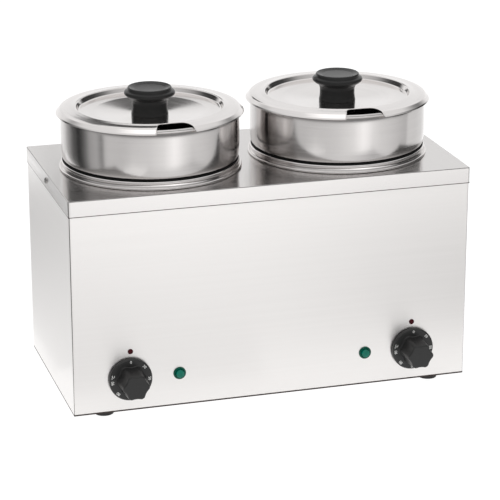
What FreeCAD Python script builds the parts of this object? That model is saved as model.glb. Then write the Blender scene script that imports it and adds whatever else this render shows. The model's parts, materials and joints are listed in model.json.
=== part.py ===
import FreeCAD, Part
import math
import os
import Sketcher
from FreeCAD import Placement, Rotation, Vector

# Two-pot soup kettle for a buffet: a sheet steel housing with two heated water
# wells, two pots that hang in them by their shoulders, lids with a ladle notch,
# and a thermostat dial, a lamp and an index marker for each well.
#
# Frame: millimetres, +X to the right, the front faces -Y, +Z up.
# Origin: on the table, below the middle of the housing.

DIMENSIONS = {
    # housing sheet metal
    "housing_width": 540, "housing_depth": 267, "deck_height": 297, "foot_height": 8,
    "sheet": 1.0, "skirt_height": 20.5, "cover_corner": 3.0, "shell_corner": 2.0,
    "cover_edge": 1.2, "base_inset": 3.0, "flange_width": 14.0,
    "well_spacing": 259, "deck_hole_radius": 116,
    # vent slots in the base plate
    "slot_length": 60, "slot_width": 5, "slot_pitch": 12, "slot_count": 8,
    # water well, heights from the deck
    "well_radius": 113.0, "well_wall_top": 7.6, "well_depth": 150, "well_corner": 14, "well_sheet": 1.0,
    "collar_bead_radius": 115.4, "collar_bead_height": 8.6, "collar_bead_size": 2.2,
    "collar_foot_radius": 118.9, "collar_foot_height": 1.8, "collar_foot_size": 1.6,
    "collar_sheet": 1.2,
    # insulation sleeve round the well
    "sleeve_inner": 120.4, "sleeve_outer": 126.4, "sleeve_top": 8, "sleeve_length": 130,
    # pot, heights from the deck
    "pot_sheet": 1.0, "pot_depth": 101, "pot_corner": 12, "pot_body_radius": 109.0,
    "pot_body_top": 3.0, "pot_seat_radius": 113.15, "pot_seat_height": 9.9,
    "pot_neck_radius": 113.5, "pot_neck_height": 13.0,
    "pot_shoulder_radius": 115.6, "pot_shoulder_height": 16.2,
    "pot_flank_radius": 117.0, "pot_flank_height": 21, "pot_bend": 15,
    "pot_belly_radius": 117.7, "pot_belly_height": 35,
    "pot_mouth_radius": 115.5, "pot_mouth_height": 70,
    "pot_rim_radius": 116.0, "pot_rim_height": 76.0, "pot_rim_size": 2.4,
    # lid, heights from the deck
    "lid_sheet": 0.8, "lid_hole_radius": 2.8, "lid_seat_radius": 26, "lid_seat_height": 70,
    "lid_disc_radius": 93.8, "lid_disc_height": 75.2, "lid_ridge_radius": 97.0,
    "lid_ridge_height": 82.3, "lid_brim_radius": 112, "lid_brim_height": 80.0,
    "lid_roll_radius": 120.2, "lid_roll_height": 79.5, "lid_edge_radius": 123.8,
    "lid_edge_height": 75.9, "lid_curl": 1.2,
    "lid_step_bend": 1.5, "lid_roll_bend": 3.0, "lid_edge_bend": 1.2,
    "notch_turn_left": 2, "notch_turn_right": -1, "notch_inner_width": 38, "notch_outer_width": 60,
    "notch_back": 98.5, "notch_corner": 9, "notch_overrun": 6, "notch_depth": 25,
    # lid knob, heights above the lid's seat
    "knob_foot_radius": 24.6, "knob_stem_radius": 23.2, "knob_stem_height": 9,
    "knob_neck_height": 17.5, "knob_flare_radius": 27.0, "knob_flare_height": 22.0,
    "knob_cap_radius": 33.6, "knob_cap_height": 27.4, "knob_shoulder_height": 31.4,
    "knob_top_radius": 28.8, "knob_top_height": 36.5, "knob_dish_radius": 26.0,
    "knob_dish_depth": 0.8, "knob_dish_slope": 2.0, "knob_neck_bend": 4.0, "knob_cap_bend": 2.0,
    "knob_bore_depth": 16,
    "knob_screw_radius": 2.5, "knob_screw_head": 4.6, "knob_screw_head_height": 3.0,
    "knob_washer_radius": 8, "knob_washer_height": 1.0,
    # front panel
    "dial_x": 194, "dial_z": 51.5, "lamp_x": 127.7, "lamp_z": 51.5,
    "marker_x": 193, "marker_z": 88.5,
    # thermostat dial, depths from its back face
    "dial_radius": 28.6, "dial_skirt": 5.5, "dial_gap": 1.0, "dial_length": 36,
    "grip_base_radius": 19.6, "grip_taper": 4.0, "grip_flutes": 6, "grip_flute_radius": 20,
    "grip_flute_centre": 35.1, "grip_flute_taper": 3.4, "dial_rim_edge": 1.0,
    "dial_recess_radius": 25, "dial_recess_depth": 4, "dial_boss_radius": 7,
    "dial_bore_radius": 3.05, "dial_bore_depth": 24,
    # thermostat
    "thermostat_width": 46, "thermostat_depth": 32, "thermostat_height": 34,
    "bushing_radius": 5, "bushing_hole": 5.4, "shaft_radius": 3.0, "shaft_hole": 3.05,
    "shaft_flat": 1.6, "shaft_flat_start": 2,
    "shaft_inner": 18, "shaft_outer": 20, "fixing_offset": 14,
    "fixing_radius": 1.95, "fixing_hole": 2.1, "fixing_head_radius": 3.6,
    "fixing_head_height": 2.2, "fixing_length": 8,
    "bulb_radius": 3, "bulb_length": 80, "bulb_gap": 0.3, "bulb_lift": 12, "capillary_radius": 0.8,
    "capillary_drop": 26, "capillary_slant": 14, "capillary_entry": 8,
    # lamp and index marker
    "lamp_flange_radius": 8.3, "lamp_flange_height": 1.8, "lamp_dome_radius": 5.8,
    "lamp_dome_height": 5.2, "lamp_barrel_radius": 6.0, "lamp_barrel_length": 26,
    "lamp_hole": 6.3,
    "marker_radius": 3.6, "marker_height": 1.3, "marker_pin_radius": 1.9,
    "marker_pin_length": 6, "marker_hole": 2.1,
    # heater under each well
    "heater_ring": 62, "heater_tube": 4.25, "heater_leg": 24, "heater_pin_radius": 1.5,
    "heater_pin": 10, "heater_sweep": 330,
    "clamp_radius": 74, "clamp_height": 1.5, "clamp_hole": 3.3,
    "stud_radius": 3.0, "stud_length": 20, "stud_nut_width": 10, "stud_nut_height": 5,
    "cutout_radius": 9, "cutout_height": 9, "cutout_offset": 38, "clamp_leg_gap": 0.8,
    # mains side
    "terminal_width": 56, "terminal_depth": 20, "terminal_height": 22, "terminal_y": 100,
    "terminal_pitch": 16, "terminal_hole": 3, "earth_x": 60, "earth_radius": 2.5,
    "earth_length": 15, "earth_nut_width": 8, "earth_nut_height": 4,
    "gland_x": 200, "gland_z": 45, "gland_thread": 10, "gland_hole": 10.2,
    "gland_bore": 5, "gland_hex": 24, "gland_collar": 6, "gland_tail": 14,
    "gland_spout": 8, "gland_nut_length": 23.5, "gland_dome": 9, "gland_mouth": 8,
    "gland_nut_gap": 0.5, "gland_lip": 1.5, "gland_bore_reach": 40,
    "locknut_hex": 26, "locknut_height": 5,
    "wire_radius": 2.5, "tab_thickness": 0.8, "tab_width": 6, "tab_length": 8, "tab_spacing": 6,
    "thermostat_tab_x": 12, "thermostat_tab_drop": 12, "nut_clearance": 0.05,
    # feet and fasteners
    "foot_x": 225, "foot_y": 113, "foot_top_radius": 14, "foot_bottom_radius": 12.5,
    "foot_recess_radius": 6.5, "foot_recess_depth": 4, "foot_bore": 2.7,
    "foot_screw_radius": 2.5, "foot_screw_head": 4.7, "foot_screw_head_height": 2.6,
    "foot_screw_length": 12, "foot_nut_width": 8, "foot_nut_height": 4,
    "cover_screw_drop": 10, "cover_screw_head": 4.2, "cover_screw_head_height": 2.6,
    "cover_screw_radius": 1.9, "cover_screw_length": 12, "cover_screw_hole": 2.1,
    "base_screw_x": 190, "base_screw_margin": 7, "base_screw_head": 3.4,
    "base_screw_head_height": 2.0, "base_screw_radius": 1.6, "base_screw_length": 8,
    "base_screw_hole": 1.7,
}

SIDES = (("left", -1), ("right", 1))
CORNERS = (("front_left", -1, -1), ("front_right", 1, -1), ("rear_left", -1, 1), ("rear_right", 1, 1))

UPRIGHT = Rotation()
TO_FRONT = Rotation(Vector(1, 0, 0), 90)     # local +Z points to -Y
TO_REAR = Rotation(Vector(1, 0, 0), -90)     # local +Z points to +Y
TO_LEFT = Rotation(Vector(0, 1, 0), -90)     # local +Z points to -X
TO_RIGHT = Rotation(Vector(0, 1, 0), 90)     # local +Z points to +X
DOWNWARD = Rotation(Vector(1, 0, 0), 180)    # local +Z points to -Z

doc = FreeCAD.newDocument("SoupKettle")
sheet = doc.addObject("Spreadsheet::Sheet", "Dims")
for row, (alias, number) in enumerate(DIMENSIONS.items(), start=1):
    sheet.set("A%d" % row, alias)
    sheet.set("B%d" % row, str(number))
    sheet.setAlias("B%d" % row, alias)
doc.recompute()

nodes = {}


# --- sizes that know the expression they come from ---------------------------

class Size:
    """A size with its value now and the sheet expression that drives it."""

    def __init__(self, value, text):
        self.value = float(value)
        self.text = text

    def __add__(self, other):
        other = as_size(other)
        return Size(self.value + other.value, "(%s + %s)" % (self.text, other.text))

    def __sub__(self, other):
        other = as_size(other)
        return Size(self.value - other.value, "(%s - %s)" % (self.text, other.text))

    def __mul__(self, other):
        other = as_size(other)
        return Size(self.value * other.value, "(%s * %s)" % (self.text, other.text))

    def __truediv__(self, other):
        other = as_size(other)
        return Size(self.value / other.value, "(%s / %s)" % (self.text, other.text))

    def __rsub__(self, other):
        return as_size(other) - self

    def __neg__(self):
        return self * -1

    __radd__ = __add__
    __rmul__ = __mul__


def as_size(number):
    if isinstance(number, Size):
        return number
    return Size(number, "(%.9g)" % number)


def dim(alias):
    """The size in the sheet's cell of that name."""
    return Size(sheet.get(alias), "Dims." + alias)


def bind(item, prop, number):
    item.setExpression(prop, as_size(number).text)


def place(item, x=0, y=0, z=0, rotation=UPRIGHT):
    item.Placement = Placement(Vector(0, 0, 0), rotation)
    for axis, number in (("x", x), ("y", y), ("z", z)):
        bind(item, "Placement.Base." + axis, number)


# --- sketches ------------------------------------------------------------------

def new_body(name):
    body = doc.addObject("PartDesign::Body", name)
    body.Label = name
    return body


def new_sketch(body, plane="XY_Plane", height=0):
    """A sketch on one of the body's own origin planes, raised by height."""
    sketch = body.newObject("Sketcher::SketchObject", body.Name + "_sketch")
    support = [f for f in body.Origin.OriginFeatures if getattr(f, "Role", "") == plane][0]
    sketch.AttachmentSupport = [(support, "")]
    sketch.MapMode = "FlatFace"
    bind(sketch, "AttachmentOffset.Base.z", height)
    return sketch


def drive(sketch, kind, where, number):
    """Adds a constraint of that kind, bound to its size."""
    index = sketch.addConstraint(Sketcher.Constraint(kind, *where, as_size(number).value))
    sketch.setExpression("Constraints[%d]" % index, as_size(number).text)


def pin(sketch, geometry, point, x, y):
    """Fixes a point of the sketch at x, y from its origin."""
    drive(sketch, "DistanceX", (-1, 1, geometry, point), x)
    drive(sketch, "DistanceY", (-1, 1, geometry, point), y)


def polygon(sketch, corners):
    """A closed outline of straight lines through the corners."""
    spots = [Vector(as_size(x).value, as_size(y).value, 0) for x, y in corners]
    first = sketch.GeometryCount
    count = len(spots)
    for i in range(count):
        sketch.addGeometry(Part.LineSegment(spots[i], spots[(i + 1) % count]))
    for i, (x, y) in enumerate(corners):
        sketch.addConstraint(Sketcher.Constraint("Coincident", first + i, 2, first + (i + 1) % count, 1))
        pin(sketch, first + i, 1, x, y)


def rectangle(sketch, width, depth):
    """A rectangle about the sketch's origin."""
    polygon(sketch, [(width * sx / 2, depth * sy / 2) for sx, sy in ((-1, -1), (1, -1), (1, 1), (-1, 1))])


def hexagon(sketch, across_flats):
    reach = across_flats / math.sqrt(3)
    angles = [math.radians(60 * i) for i in range(6)]
    polygon(sketch, [(reach * math.cos(a), reach * math.sin(a)) for a in angles])


def circle(sketch, x, y, radius):
    centre = Vector(as_size(x).value, as_size(y).value, 0)
    index = sketch.addGeometry(Part.Circle(centre, Vector(0, 0, 1), as_size(radius).value))
    pin(sketch, index, 3, x, y)
    drive(sketch, "Radius", (index,), radius)


# --- features ------------------------------------------------------------------

def add_feature(body, kind, sketch=None):
    feature = body.newObject("PartDesign::" + kind, body.Name + "_" + kind.lower())
    if sketch is not None:
        feature.Profile = sketch
    return feature


def pad(body, sketch, length, taper=None):
    feature = add_feature(body, "Pad", sketch)
    bind(feature, "Length", length)
    if taper is not None:
        bind(feature, "TaperAngle", taper)
    doc.recompute()
    return feature


def pocket(body, sketch, length, backwards=False, both_ways=False, taper=None):
    """Cuts the sketch into the body and makes sure that it takes material away."""
    before = body.Shape.Volume
    feature = add_feature(body, "Pocket", sketch)
    bind(feature, "Length", length)
    if taper is not None:
        bind(feature, "TaperAngle", taper)
    feature.Reversed = backwards
    if both_ways:
        feature.SideType = "Symmetric"
    doc.recompute()
    if not feature.Shape.Volume < before - 0.01:
        raise RuntimeError(body.Label + ": a pocket cuts nothing")
    return feature


def revolve(body, sketch):
    feature = add_feature(body, "Revolution", sketch)
    feature.ReferenceAxis = (sketch, ["V_Axis"])
    feature.Angle = 360
    doc.recompute()
    return feature


def round_edges(body, radius, chosen):
    """Fillets the edges that the chosen test picks."""
    base = body.Tip
    names = ["Edge%d" % (i + 1) for i, edge in enumerate(base.Shape.Edges) if chosen(edge)]
    if not names:
        raise RuntimeError(body.Label + ": no edge to round")
    feature = add_feature(body, "Fillet")
    feature.Base = (base, names)
    bind(feature, "Radius", radius)
    doc.recompute()
    return feature


def repeat_round(body, feature, count):
    """Repeats a feature round the body's own Z axis."""
    pattern = add_feature(body, "PolarPattern")
    pattern.Originals = [feature]
    axis = [f for f in body.Origin.OriginFeatures if getattr(f, "Role", "") == "Z_Axis"][0]
    pattern.Axis = (axis, [""])
    pattern.Angle = 360
    pattern.Occurrences = count
    body.Tip = pattern
    doc.recompute()
    return pattern


def repeat_along(body, feature, direction, length, count):
    """Repeats a feature along one of the body's own axes."""
    pattern = add_feature(body, "LinearPattern")
    pattern.Originals = [feature]
    axis = [f for f in body.Origin.OriginFeatures if getattr(f, "Role", "") == direction][0]
    pattern.Direction = (axis, [""])
    bind(pattern, "Length", length)
    pattern.Occurrences = count
    body.Tip = pattern
    doc.recompute()
    return pattern


def upright_edges(half_width, half_depth):
    """Picks the straight upright edges at the corners of a rectangle."""
    def chosen(edge):
        box = edge.BoundBox
        upright = box.XLength < 0.01 and box.YLength < 0.01 and box.ZLength > 1
        return upright and abs(abs(box.XMin) - half_width) < 0.01 and abs(abs(box.YMin) - half_depth) < 0.01
    return chosen


def ring_edges(radius, height):
    """Picks the circular edge of that radius at that height about the Z axis."""
    def chosen(edge):
        if not isinstance(edge.Curve, Part.Circle):
            return False
        middle = edge.Curve.Center
        centred = math.hypot(middle.x, middle.y) < 0.01 and abs(middle.z - height) < 0.01
        return centred and abs(edge.Curve.Radius - radius) < 0.01
    return chosen


def turned(name, outlines, beads=()):
    """A body turned about its Z axis: closed outlines of (radius, height) and round beads."""
    body = new_body(name)
    for corners in outlines:
        sketch = new_sketch(body, "XZ_Plane")
        polygon(sketch, corners)
        revolve(body, sketch)
    for radius, height, size in beads:
        sketch = new_sketch(body, "XZ_Plane")
        circle(sketch, radius, height, size)
        revolve(body, sketch)
    return body


def prism_nut(name, across_flats, thread, height):
    """Hexagon nut for a thread of that radius."""
    body = new_body(name)
    sketch = new_sketch(body)
    hexagon(sketch, across_flats)
    circle(sketch, 0, 0, thread + dim("nut_clearance"))
    pad(body, sketch, height)
    return body


def push_tabs(body, back, spots):
    """Flat push-on tabs behind the level back, standing across X at the spots (x, y)."""
    tabs = new_sketch(body, height=back - dim("tab_length"))
    half_thickness, half_width = dim("tab_thickness") / 2, dim("tab_width") / 2
    for x, y in spots:
        corners = [(-half_thickness, -half_width), (half_thickness, -half_width),
                   (half_thickness, half_width), (-half_thickness, half_width)]
        polygon(tabs, [(x + dx, y + dy) for dx, dy in corners])
    pad(body, tabs, dim("tab_length") + dim("sheet"))


def headed_pin(name, head_radius, head_height, pin_radius, pin_length, dome=0.6):
    """A round-headed fastener: the head stands on +Z and the pin hangs below z = 0."""
    outline = [
        (0, -pin_length), (pin_radius, -pin_length), (pin_radius, 0), (head_radius, 0),
        (head_radius, head_height * (1 - dome)), (head_radius * 0.55, head_height), (0, head_height),
    ]
    return turned(name, [outline])


def group(name, members):
    """Separate solids that share one node."""
    cluster = doc.addObject("Part::Compound", name)
    cluster.Label = name
    cluster.Links = members
    nodes[name] = cluster


def keep(body, x=0, y=0, z=0, rotation=UPRIGHT):
    place(body, x, y, z, rotation)
    nodes[body.Label] = body


def rounded_path(points):
    """Straight runs joined by tangent arcs as large as the runs allow."""
    edges = []
    start = points[0]
    for i in range(1, len(points) - 1):
        corner = points[i]
        back = points[i - 1] - corner
        ahead = points[i + 1] - corner
        trim = 0.45 * min(back.Length, ahead.Length)
        back.normalize()
        ahead.normalize()
        entry = corner + back * trim
        leave = corner + ahead * trim
        half = back.getAngle(ahead) / 2
        radius = trim * math.tan(half)
        inward = (back + ahead).normalize()
        middle = corner + inward * (trim / math.cos(half) - radius)
        edges.append(Part.LineSegment(start, entry).toShape())
        edges.append(Part.Arc(entry, middle, leave).toShape())
        start = leave
    edges.append(Part.LineSegment(start, points[-1]).toShape())
    return Part.Wire(edges)


def tube_along(points, radius):
    """A solid round tube along the rounded path through the points."""
    path = rounded_path(points)
    direction = points[1] - points[0]
    section = Part.Wire(Part.Circle(points[0], direction, radius).toShape())
    solid = path.makePipeShell([section], True, False)
    expected = math.pi * radius ** 2 * path.Length
    if abs(solid.Volume - expected) > 0.02 * expected:
        raise RuntimeError("a tube's volume is wrong")
    return solid


# --- derived sizes shared by several pieces ------------------------------------

half_width = dim("housing_width") / 2
half_depth = dim("housing_depth") / 2
panel_y = half_depth - dim("sheet")             # outer face of the front and rear panels
panel_inside = panel_y - dim("sheet")
side_inside = half_width - 2 * dim("sheet")
shell_base = dim("foot_height") + dim("sheet")
shell_height = dim("deck_height") - shell_base - dim("sheet")
well_bottom = dim("deck_height") - dim("well_depth") - dim("well_sheet")
pot_centre = dim("well_spacing") / 2
dial_back = panel_y + dim("dial_gap")
base_screw_y = panel_inside - dim("base_screw_margin")
BASE_SCREW_SPOTS = [(sx, sy) for sx in (-1, 0, 1) for sy in (-1, 1)]


# --- housing -------------------------------------------------------------------

def housing_shell():
    """Sleeve of the four walls with a flange folded inwards at its foot."""
    body = new_body("housing_shell")
    walls = new_sketch(body)
    rectangle(walls, 2 * (half_width - dim("sheet")), 2 * panel_y)
    rectangle(walls, 2 * side_inside, 2 * panel_inside)
    pad(body, walls, shell_height)
    outer = upright_edges((half_width - dim("sheet")).value, panel_y.value)
    inner = upright_edges(side_inside.value, panel_inside.value)
    round_edges(body, dim("shell_corner"), outer)
    round_edges(body, dim("shell_corner") - dim("sheet"), inner)

    flange = new_sketch(body)
    rectangle(flange, 2 * side_inside, 2 * panel_inside)
    rectangle(flange, 2 * (side_inside - dim("flange_width")), 2 * (panel_inside - dim("flange_width")))
    pad(body, flange, dim("sheet"))

    front = new_sketch(body, "XZ_Plane")
    for _, sign in SIDES:
        circle(front, sign * dim("dial_x"), dim("dial_z") - shell_base, dim("bushing_hole"))
        for offset in (-1, 1):
            screw_x = sign * dim("dial_x") + offset * dim("fixing_offset")
            circle(front, screw_x, dim("dial_z") - shell_base, dim("fixing_hole"))
        circle(front, sign * dim("lamp_x"), dim("lamp_z") - shell_base, dim("lamp_hole"))
        circle(front, sign * dim("marker_x"), dim("marker_z") - shell_base, dim("marker_hole"))
    pocket(body, front, half_depth + 5, backwards=True)

    rear = new_sketch(body, "XZ_Plane")
    circle(rear, -dim("gland_x"), dim("gland_z") - shell_base, dim("gland_hole"))
    pocket(body, rear, half_depth + 5)

    sides = new_sketch(body, "YZ_Plane")
    screw_z = dim("deck_height") - dim("cover_screw_drop") - shell_base
    circle(sides, 0, screw_z, dim("cover_screw_hole"))
    pocket(body, sides, dim("housing_width") + 10, both_ways=True)

    screws = new_sketch(body)
    for sx, sy in BASE_SCREW_SPOTS:
        circle(screws, sx * dim("base_screw_x"), sy * base_screw_y, dim("base_screw_hole"))
    pocket(body, screws, 2 * dim("sheet"), backwards=True)
    keep(body, z=shell_base)


def base_plate():
    """Plate below the shell's flange, set in a little from the walls, with vent slots."""
    body = new_body("base_plate")
    outline = new_sketch(body)
    inset = dim("base_inset")
    rectangle(outline, 2 * (half_width - dim("sheet") - inset), 2 * (panel_y - inset))
    for sx, sy in BASE_SCREW_SPOTS:
        circle(outline, sx * dim("base_screw_x"), sy * base_screw_y, dim("base_screw_hole"))
    for _, sx, sy in CORNERS:
        circle(outline, sx * dim("foot_x"), sy * dim("foot_y"), dim("foot_bore"))
    pad(body, outline, dim("sheet"))
    steps = DIMENSIONS["slot_count"] - 1
    for _, sign in SIDES:
        slot = new_sketch(body)
        left = sign * pot_centre - dim("slot_length") / 2
        low = -steps / 2 * dim("slot_pitch")
        corners = [(left, low), (left + dim("slot_length"), low),
                   (left + dim("slot_length"), low + dim("slot_width")), (left, low + dim("slot_width"))]
        polygon(slot, corners)
        cut = pocket(body, slot, 2 * dim("sheet"), backwards=True)
        repeat_along(body, cut, "Y_Axis", steps * dim("slot_pitch"), DIMENSIONS["slot_count"])
    keep(body, z=dim("foot_height"))


def top_cover():
    """Deck with two well holes and a skirt folded down over the shell."""
    body = new_body("top_cover")
    skirt = new_sketch(body)
    rectangle(skirt, dim("housing_width"), dim("housing_depth"))
    rectangle(skirt, dim("housing_width") - 2 * dim("sheet"), dim("housing_depth") - 2 * dim("sheet"))
    pad(body, skirt, dim("skirt_height"))
    inner = upright_edges((half_width - dim("sheet")).value, panel_y.value)
    round_edges(body, dim("cover_corner") - dim("sheet"), inner)

    deck = new_sketch(body, height=dim("skirt_height") - dim("sheet"))
    rectangle(deck, dim("housing_width"), dim("housing_depth"))
    for _, sign in SIDES:
        circle(deck, sign * pot_centre, 0, dim("deck_hole_radius"))
    pad(body, deck, dim("sheet"))
    round_edges(body, dim("cover_corner"), upright_edges(half_width.value, half_depth.value))

    top = dim("skirt_height").value

    def outer_edge(edge):
        box = edge.BoundBox
        flat = abs(box.ZMin - top) < 0.01 and abs(box.ZMax - top) < 0.01
        reach_x = max(abs(box.XMin), abs(box.XMax)) > half_width.value - dim("cover_corner").value - 0.1
        reach_y = max(abs(box.YMin), abs(box.YMax)) > half_depth.value - 0.1
        return flat and (reach_x or reach_y)

    round_edges(body, dim("cover_edge"), outer_edge)
    holes = new_sketch(body, "YZ_Plane")
    circle(holes, 0, dim("skirt_height") - dim("cover_screw_drop"), dim("cover_screw_hole"))
    pocket(body, holes, dim("housing_width") + 10, both_ways=True)
    keep(body, z=dim("deck_height") - dim("skirt_height"))


def foot(name, sx, sy):
    recess = dim("foot_recess_radius")
    outline = [
        (dim("foot_bore"), dim("foot_recess_depth")), (recess, dim("foot_recess_depth")), (recess, 0),
        (dim("foot_bottom_radius"), 0), (dim("foot_top_radius"), dim("foot_height") * 0.6),
        (dim("foot_top_radius"), dim("foot_height")), (dim("foot_bore"), dim("foot_height")),
    ]
    body = turned(name, [outline])
    edge = ring_edges(dim("foot_top_radius").value, dim("foot_height").value * 0.6)
    round_edges(body, 1.5, edge)
    keep(body, sx * dim("foot_x"), sy * dim("foot_y"))


# --- wells and heaters ---------------------------------------------------------

def well(side, sign):
    """Deep-drawn water well with a raised collar that rests on the deck."""
    radius = dim("well_radius")
    outer = radius + dim("well_sheet")
    floor = -dim("well_depth")
    top = dim("collar_bead_height")
    wall_top = dim("well_wall_top")
    basin = [(0, floor - dim("well_sheet")), (outer, floor - dim("well_sheet")), (outer, wall_top),
             (radius, wall_top), (radius, floor), (0, floor)]
    bead = dim("collar_bead_radius")
    rest = dim("collar_foot_radius")
    low = dim("collar_foot_height")
    half = dim("collar_sheet") / 2
    crown = bead + dim("collar_bead_size") / 2
    collar = [(crown - half, top), (rest - half, low), (rest + half, low + half), (crown + half, top + half)]
    beads = [(bead, top, dim("collar_bead_size")), (rest, low, dim("collar_foot_size"))]
    body = turned("well_" + side, [basin, collar], beads)
    round_edges(body, dim("well_corner"), ring_edges(radius.value, floor.value))
    under = (floor - dim("well_sheet")).value
    round_edges(body, dim("well_corner") + dim("well_sheet"), ring_edges(outer.value, under))
    keep(body, sign * pot_centre, 0, dim("deck_height"))


def insulation_sleeve(side, sign):
    inner, outer = dim("sleeve_inner"), dim("sleeve_outer")
    high, low = -dim("sleeve_top"), -(dim("sleeve_top") + dim("sleeve_length"))
    body = turned("insulation_" + side, [[(inner, low), (outer, low), (outer, high), (inner, high)]])
    keep(body, sign * pot_centre, 0, dim("deck_height"))


def heater_element(side, sign):
    """Tubular element bent to an open ring, with two legs and terminal pins."""
    name = "heater_element_" + side
    ring = doc.addObject("Part::Torus", name + "_ring")
    bind(ring, "Radius1", dim("heater_ring"))
    bind(ring, "Radius2", dim("heater_tube"))
    bind(ring, "Angle3", dim("heater_sweep"))
    level = well_bottom - dim("heater_tube")
    place(ring, sign * pot_centre, 0, level)
    pieces = [ring]
    for end, angle in (("start", 0.0), ("end", DIMENSIONS["heater_sweep"])):
        x = sign * pot_centre + dim("heater_ring") * math.cos(math.radians(angle))
        y = dim("heater_ring") * math.sin(math.radians(angle))
        leg = doc.addObject("Part::Cylinder", name + "_leg_" + end)
        bind(leg, "Radius", dim("heater_tube"))
        bind(leg, "Height", dim("heater_leg"))
        place(leg, x, y, level - dim("heater_leg"))
        terminal = doc.addObject("Part::Cylinder", name + "_pin_" + end)
        bind(terminal, "Radius", dim("heater_pin_radius"))
        bind(terminal, "Height", dim("heater_pin") + 1)
        place(terminal, x, y, level - dim("heater_leg") - dim("heater_pin"))
        pieces += [leg, terminal]
    element = doc.addObject("Part::MultiFuse", name)
    element.Label = name
    element.Shapes = pieces
    nodes[name] = element


def heater_clamp(side, sign):
    """Round plate that presses the element to the well, open where the legs pass."""
    body = new_body("heater_clamp_" + side)
    sketch = new_sketch(body)
    circle(sketch, 0, 0, dim("clamp_radius"))
    circle(sketch, 0, 0, dim("clamp_hole"))
    for angle in (0.0, DIMENSIONS["heater_sweep"]):
        x = dim("heater_ring") * math.cos(math.radians(angle))
        y = dim("heater_ring") * math.sin(math.radians(angle))
        circle(sketch, x, y, dim("heater_tube") + dim("clamp_leg_gap"))
    pad(body, sketch, dim("clamp_height"))
    keep(body, sign * pot_centre, 0, well_bottom - 2 * dim("heater_tube") - dim("clamp_height"))


def heater_fixings():
    studs, nuts = [], []
    clamp_under = well_bottom - 2 * dim("heater_tube") - dim("clamp_height")
    for side, sign in SIDES:
        stud = doc.addObject("Part::Cylinder", "heater_stud_" + side)
        bind(stud, "Radius", dim("stud_radius"))
        bind(stud, "Height", dim("stud_length"))
        place(stud, sign * pot_centre, 0, well_bottom - dim("stud_length"))
        studs.append(stud)
        nut = prism_nut("heater_nut_" + side, dim("stud_nut_width"), dim("stud_radius"),
                        dim("stud_nut_height"))
        place(nut, sign * pot_centre, 0, clamp_under - dim("stud_nut_height"))
        nuts.append(nut)
    group("heater_studs", studs)
    group("heater_nuts", nuts)


def thermal_cutout(side, sign):
    """Overheat disc below the clamp plate, with two flat tabs."""
    body = turned("thermal_cutout_" + side, [[
        (0, 0), (dim("cutout_radius") * 0.7, 0), (dim("cutout_radius") * 0.7, dim("cutout_height") * 0.6),
        (dim("cutout_radius"), dim("cutout_height") * 0.6), (dim("cutout_radius"), dim("cutout_height")),
        (0, dim("cutout_height")),
    ]])
    push_tabs(body, as_size(0), [(dim("tab_spacing") / 2 * side_sign, 0) for _, side_sign in SIDES])
    clamp_under = well_bottom - 2 * dim("heater_tube") - dim("clamp_height")
    keep(body, sign * (pot_centre - dim("cutout_offset")), 0, clamp_under - dim("cutout_height"))


# --- pots, lids and lid knobs --------------------------------------------------

def pot(side, sign):
    """Drawn pot that hangs by its shoulder in the collar, with a rolled rim."""
    t = dim("pot_sheet")
    floor = -dim("pot_depth")
    wall = [
        (dim("pot_body_radius"), dim("pot_body_top")),
        (dim("pot_seat_radius"), dim("pot_seat_height")),
        (dim("pot_neck_radius"), dim("pot_neck_height")),
        (dim("pot_shoulder_radius"), dim("pot_shoulder_height")),
        (dim("pot_flank_radius"), dim("pot_flank_height")),
        (dim("pot_belly_radius"), dim("pot_belly_height")),
        (dim("pot_mouth_radius"), dim("pot_mouth_height")),
        (dim("pot_mouth_radius"), dim("pot_rim_height")),
    ]
    outside = [(0, floor), (dim("pot_body_radius"), floor)] + wall
    inside = [(radius - t, height) for radius, height in reversed(wall)]
    inside += [(dim("pot_body_radius") - t, floor + t), (0, floor + t)]
    bead = (dim("pot_rim_radius"), dim("pot_rim_height"), dim("pot_rim_size"))
    body = turned("pot_" + side, [outside + inside], [bead])
    body_radius = dim("pot_body_radius")
    round_edges(body, dim("pot_corner"), ring_edges(body_radius.value, floor.value))
    inner_corner = ring_edges((body_radius - t).value, (floor + t).value)
    round_edges(body, dim("pot_corner") - t, inner_corner)
    for radius, height in ((dim("pot_body_radius"), dim("pot_body_top")),
                           (dim("pot_belly_radius"), dim("pot_belly_height"))):
        round_edges(body, dim("pot_bend"), ring_edges(radius.value, height.value))
        round_edges(body, dim("pot_bend"), ring_edges((radius - t).value, height.value))
    keep(body, sign * pot_centre, 0, dim("deck_height"))


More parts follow.
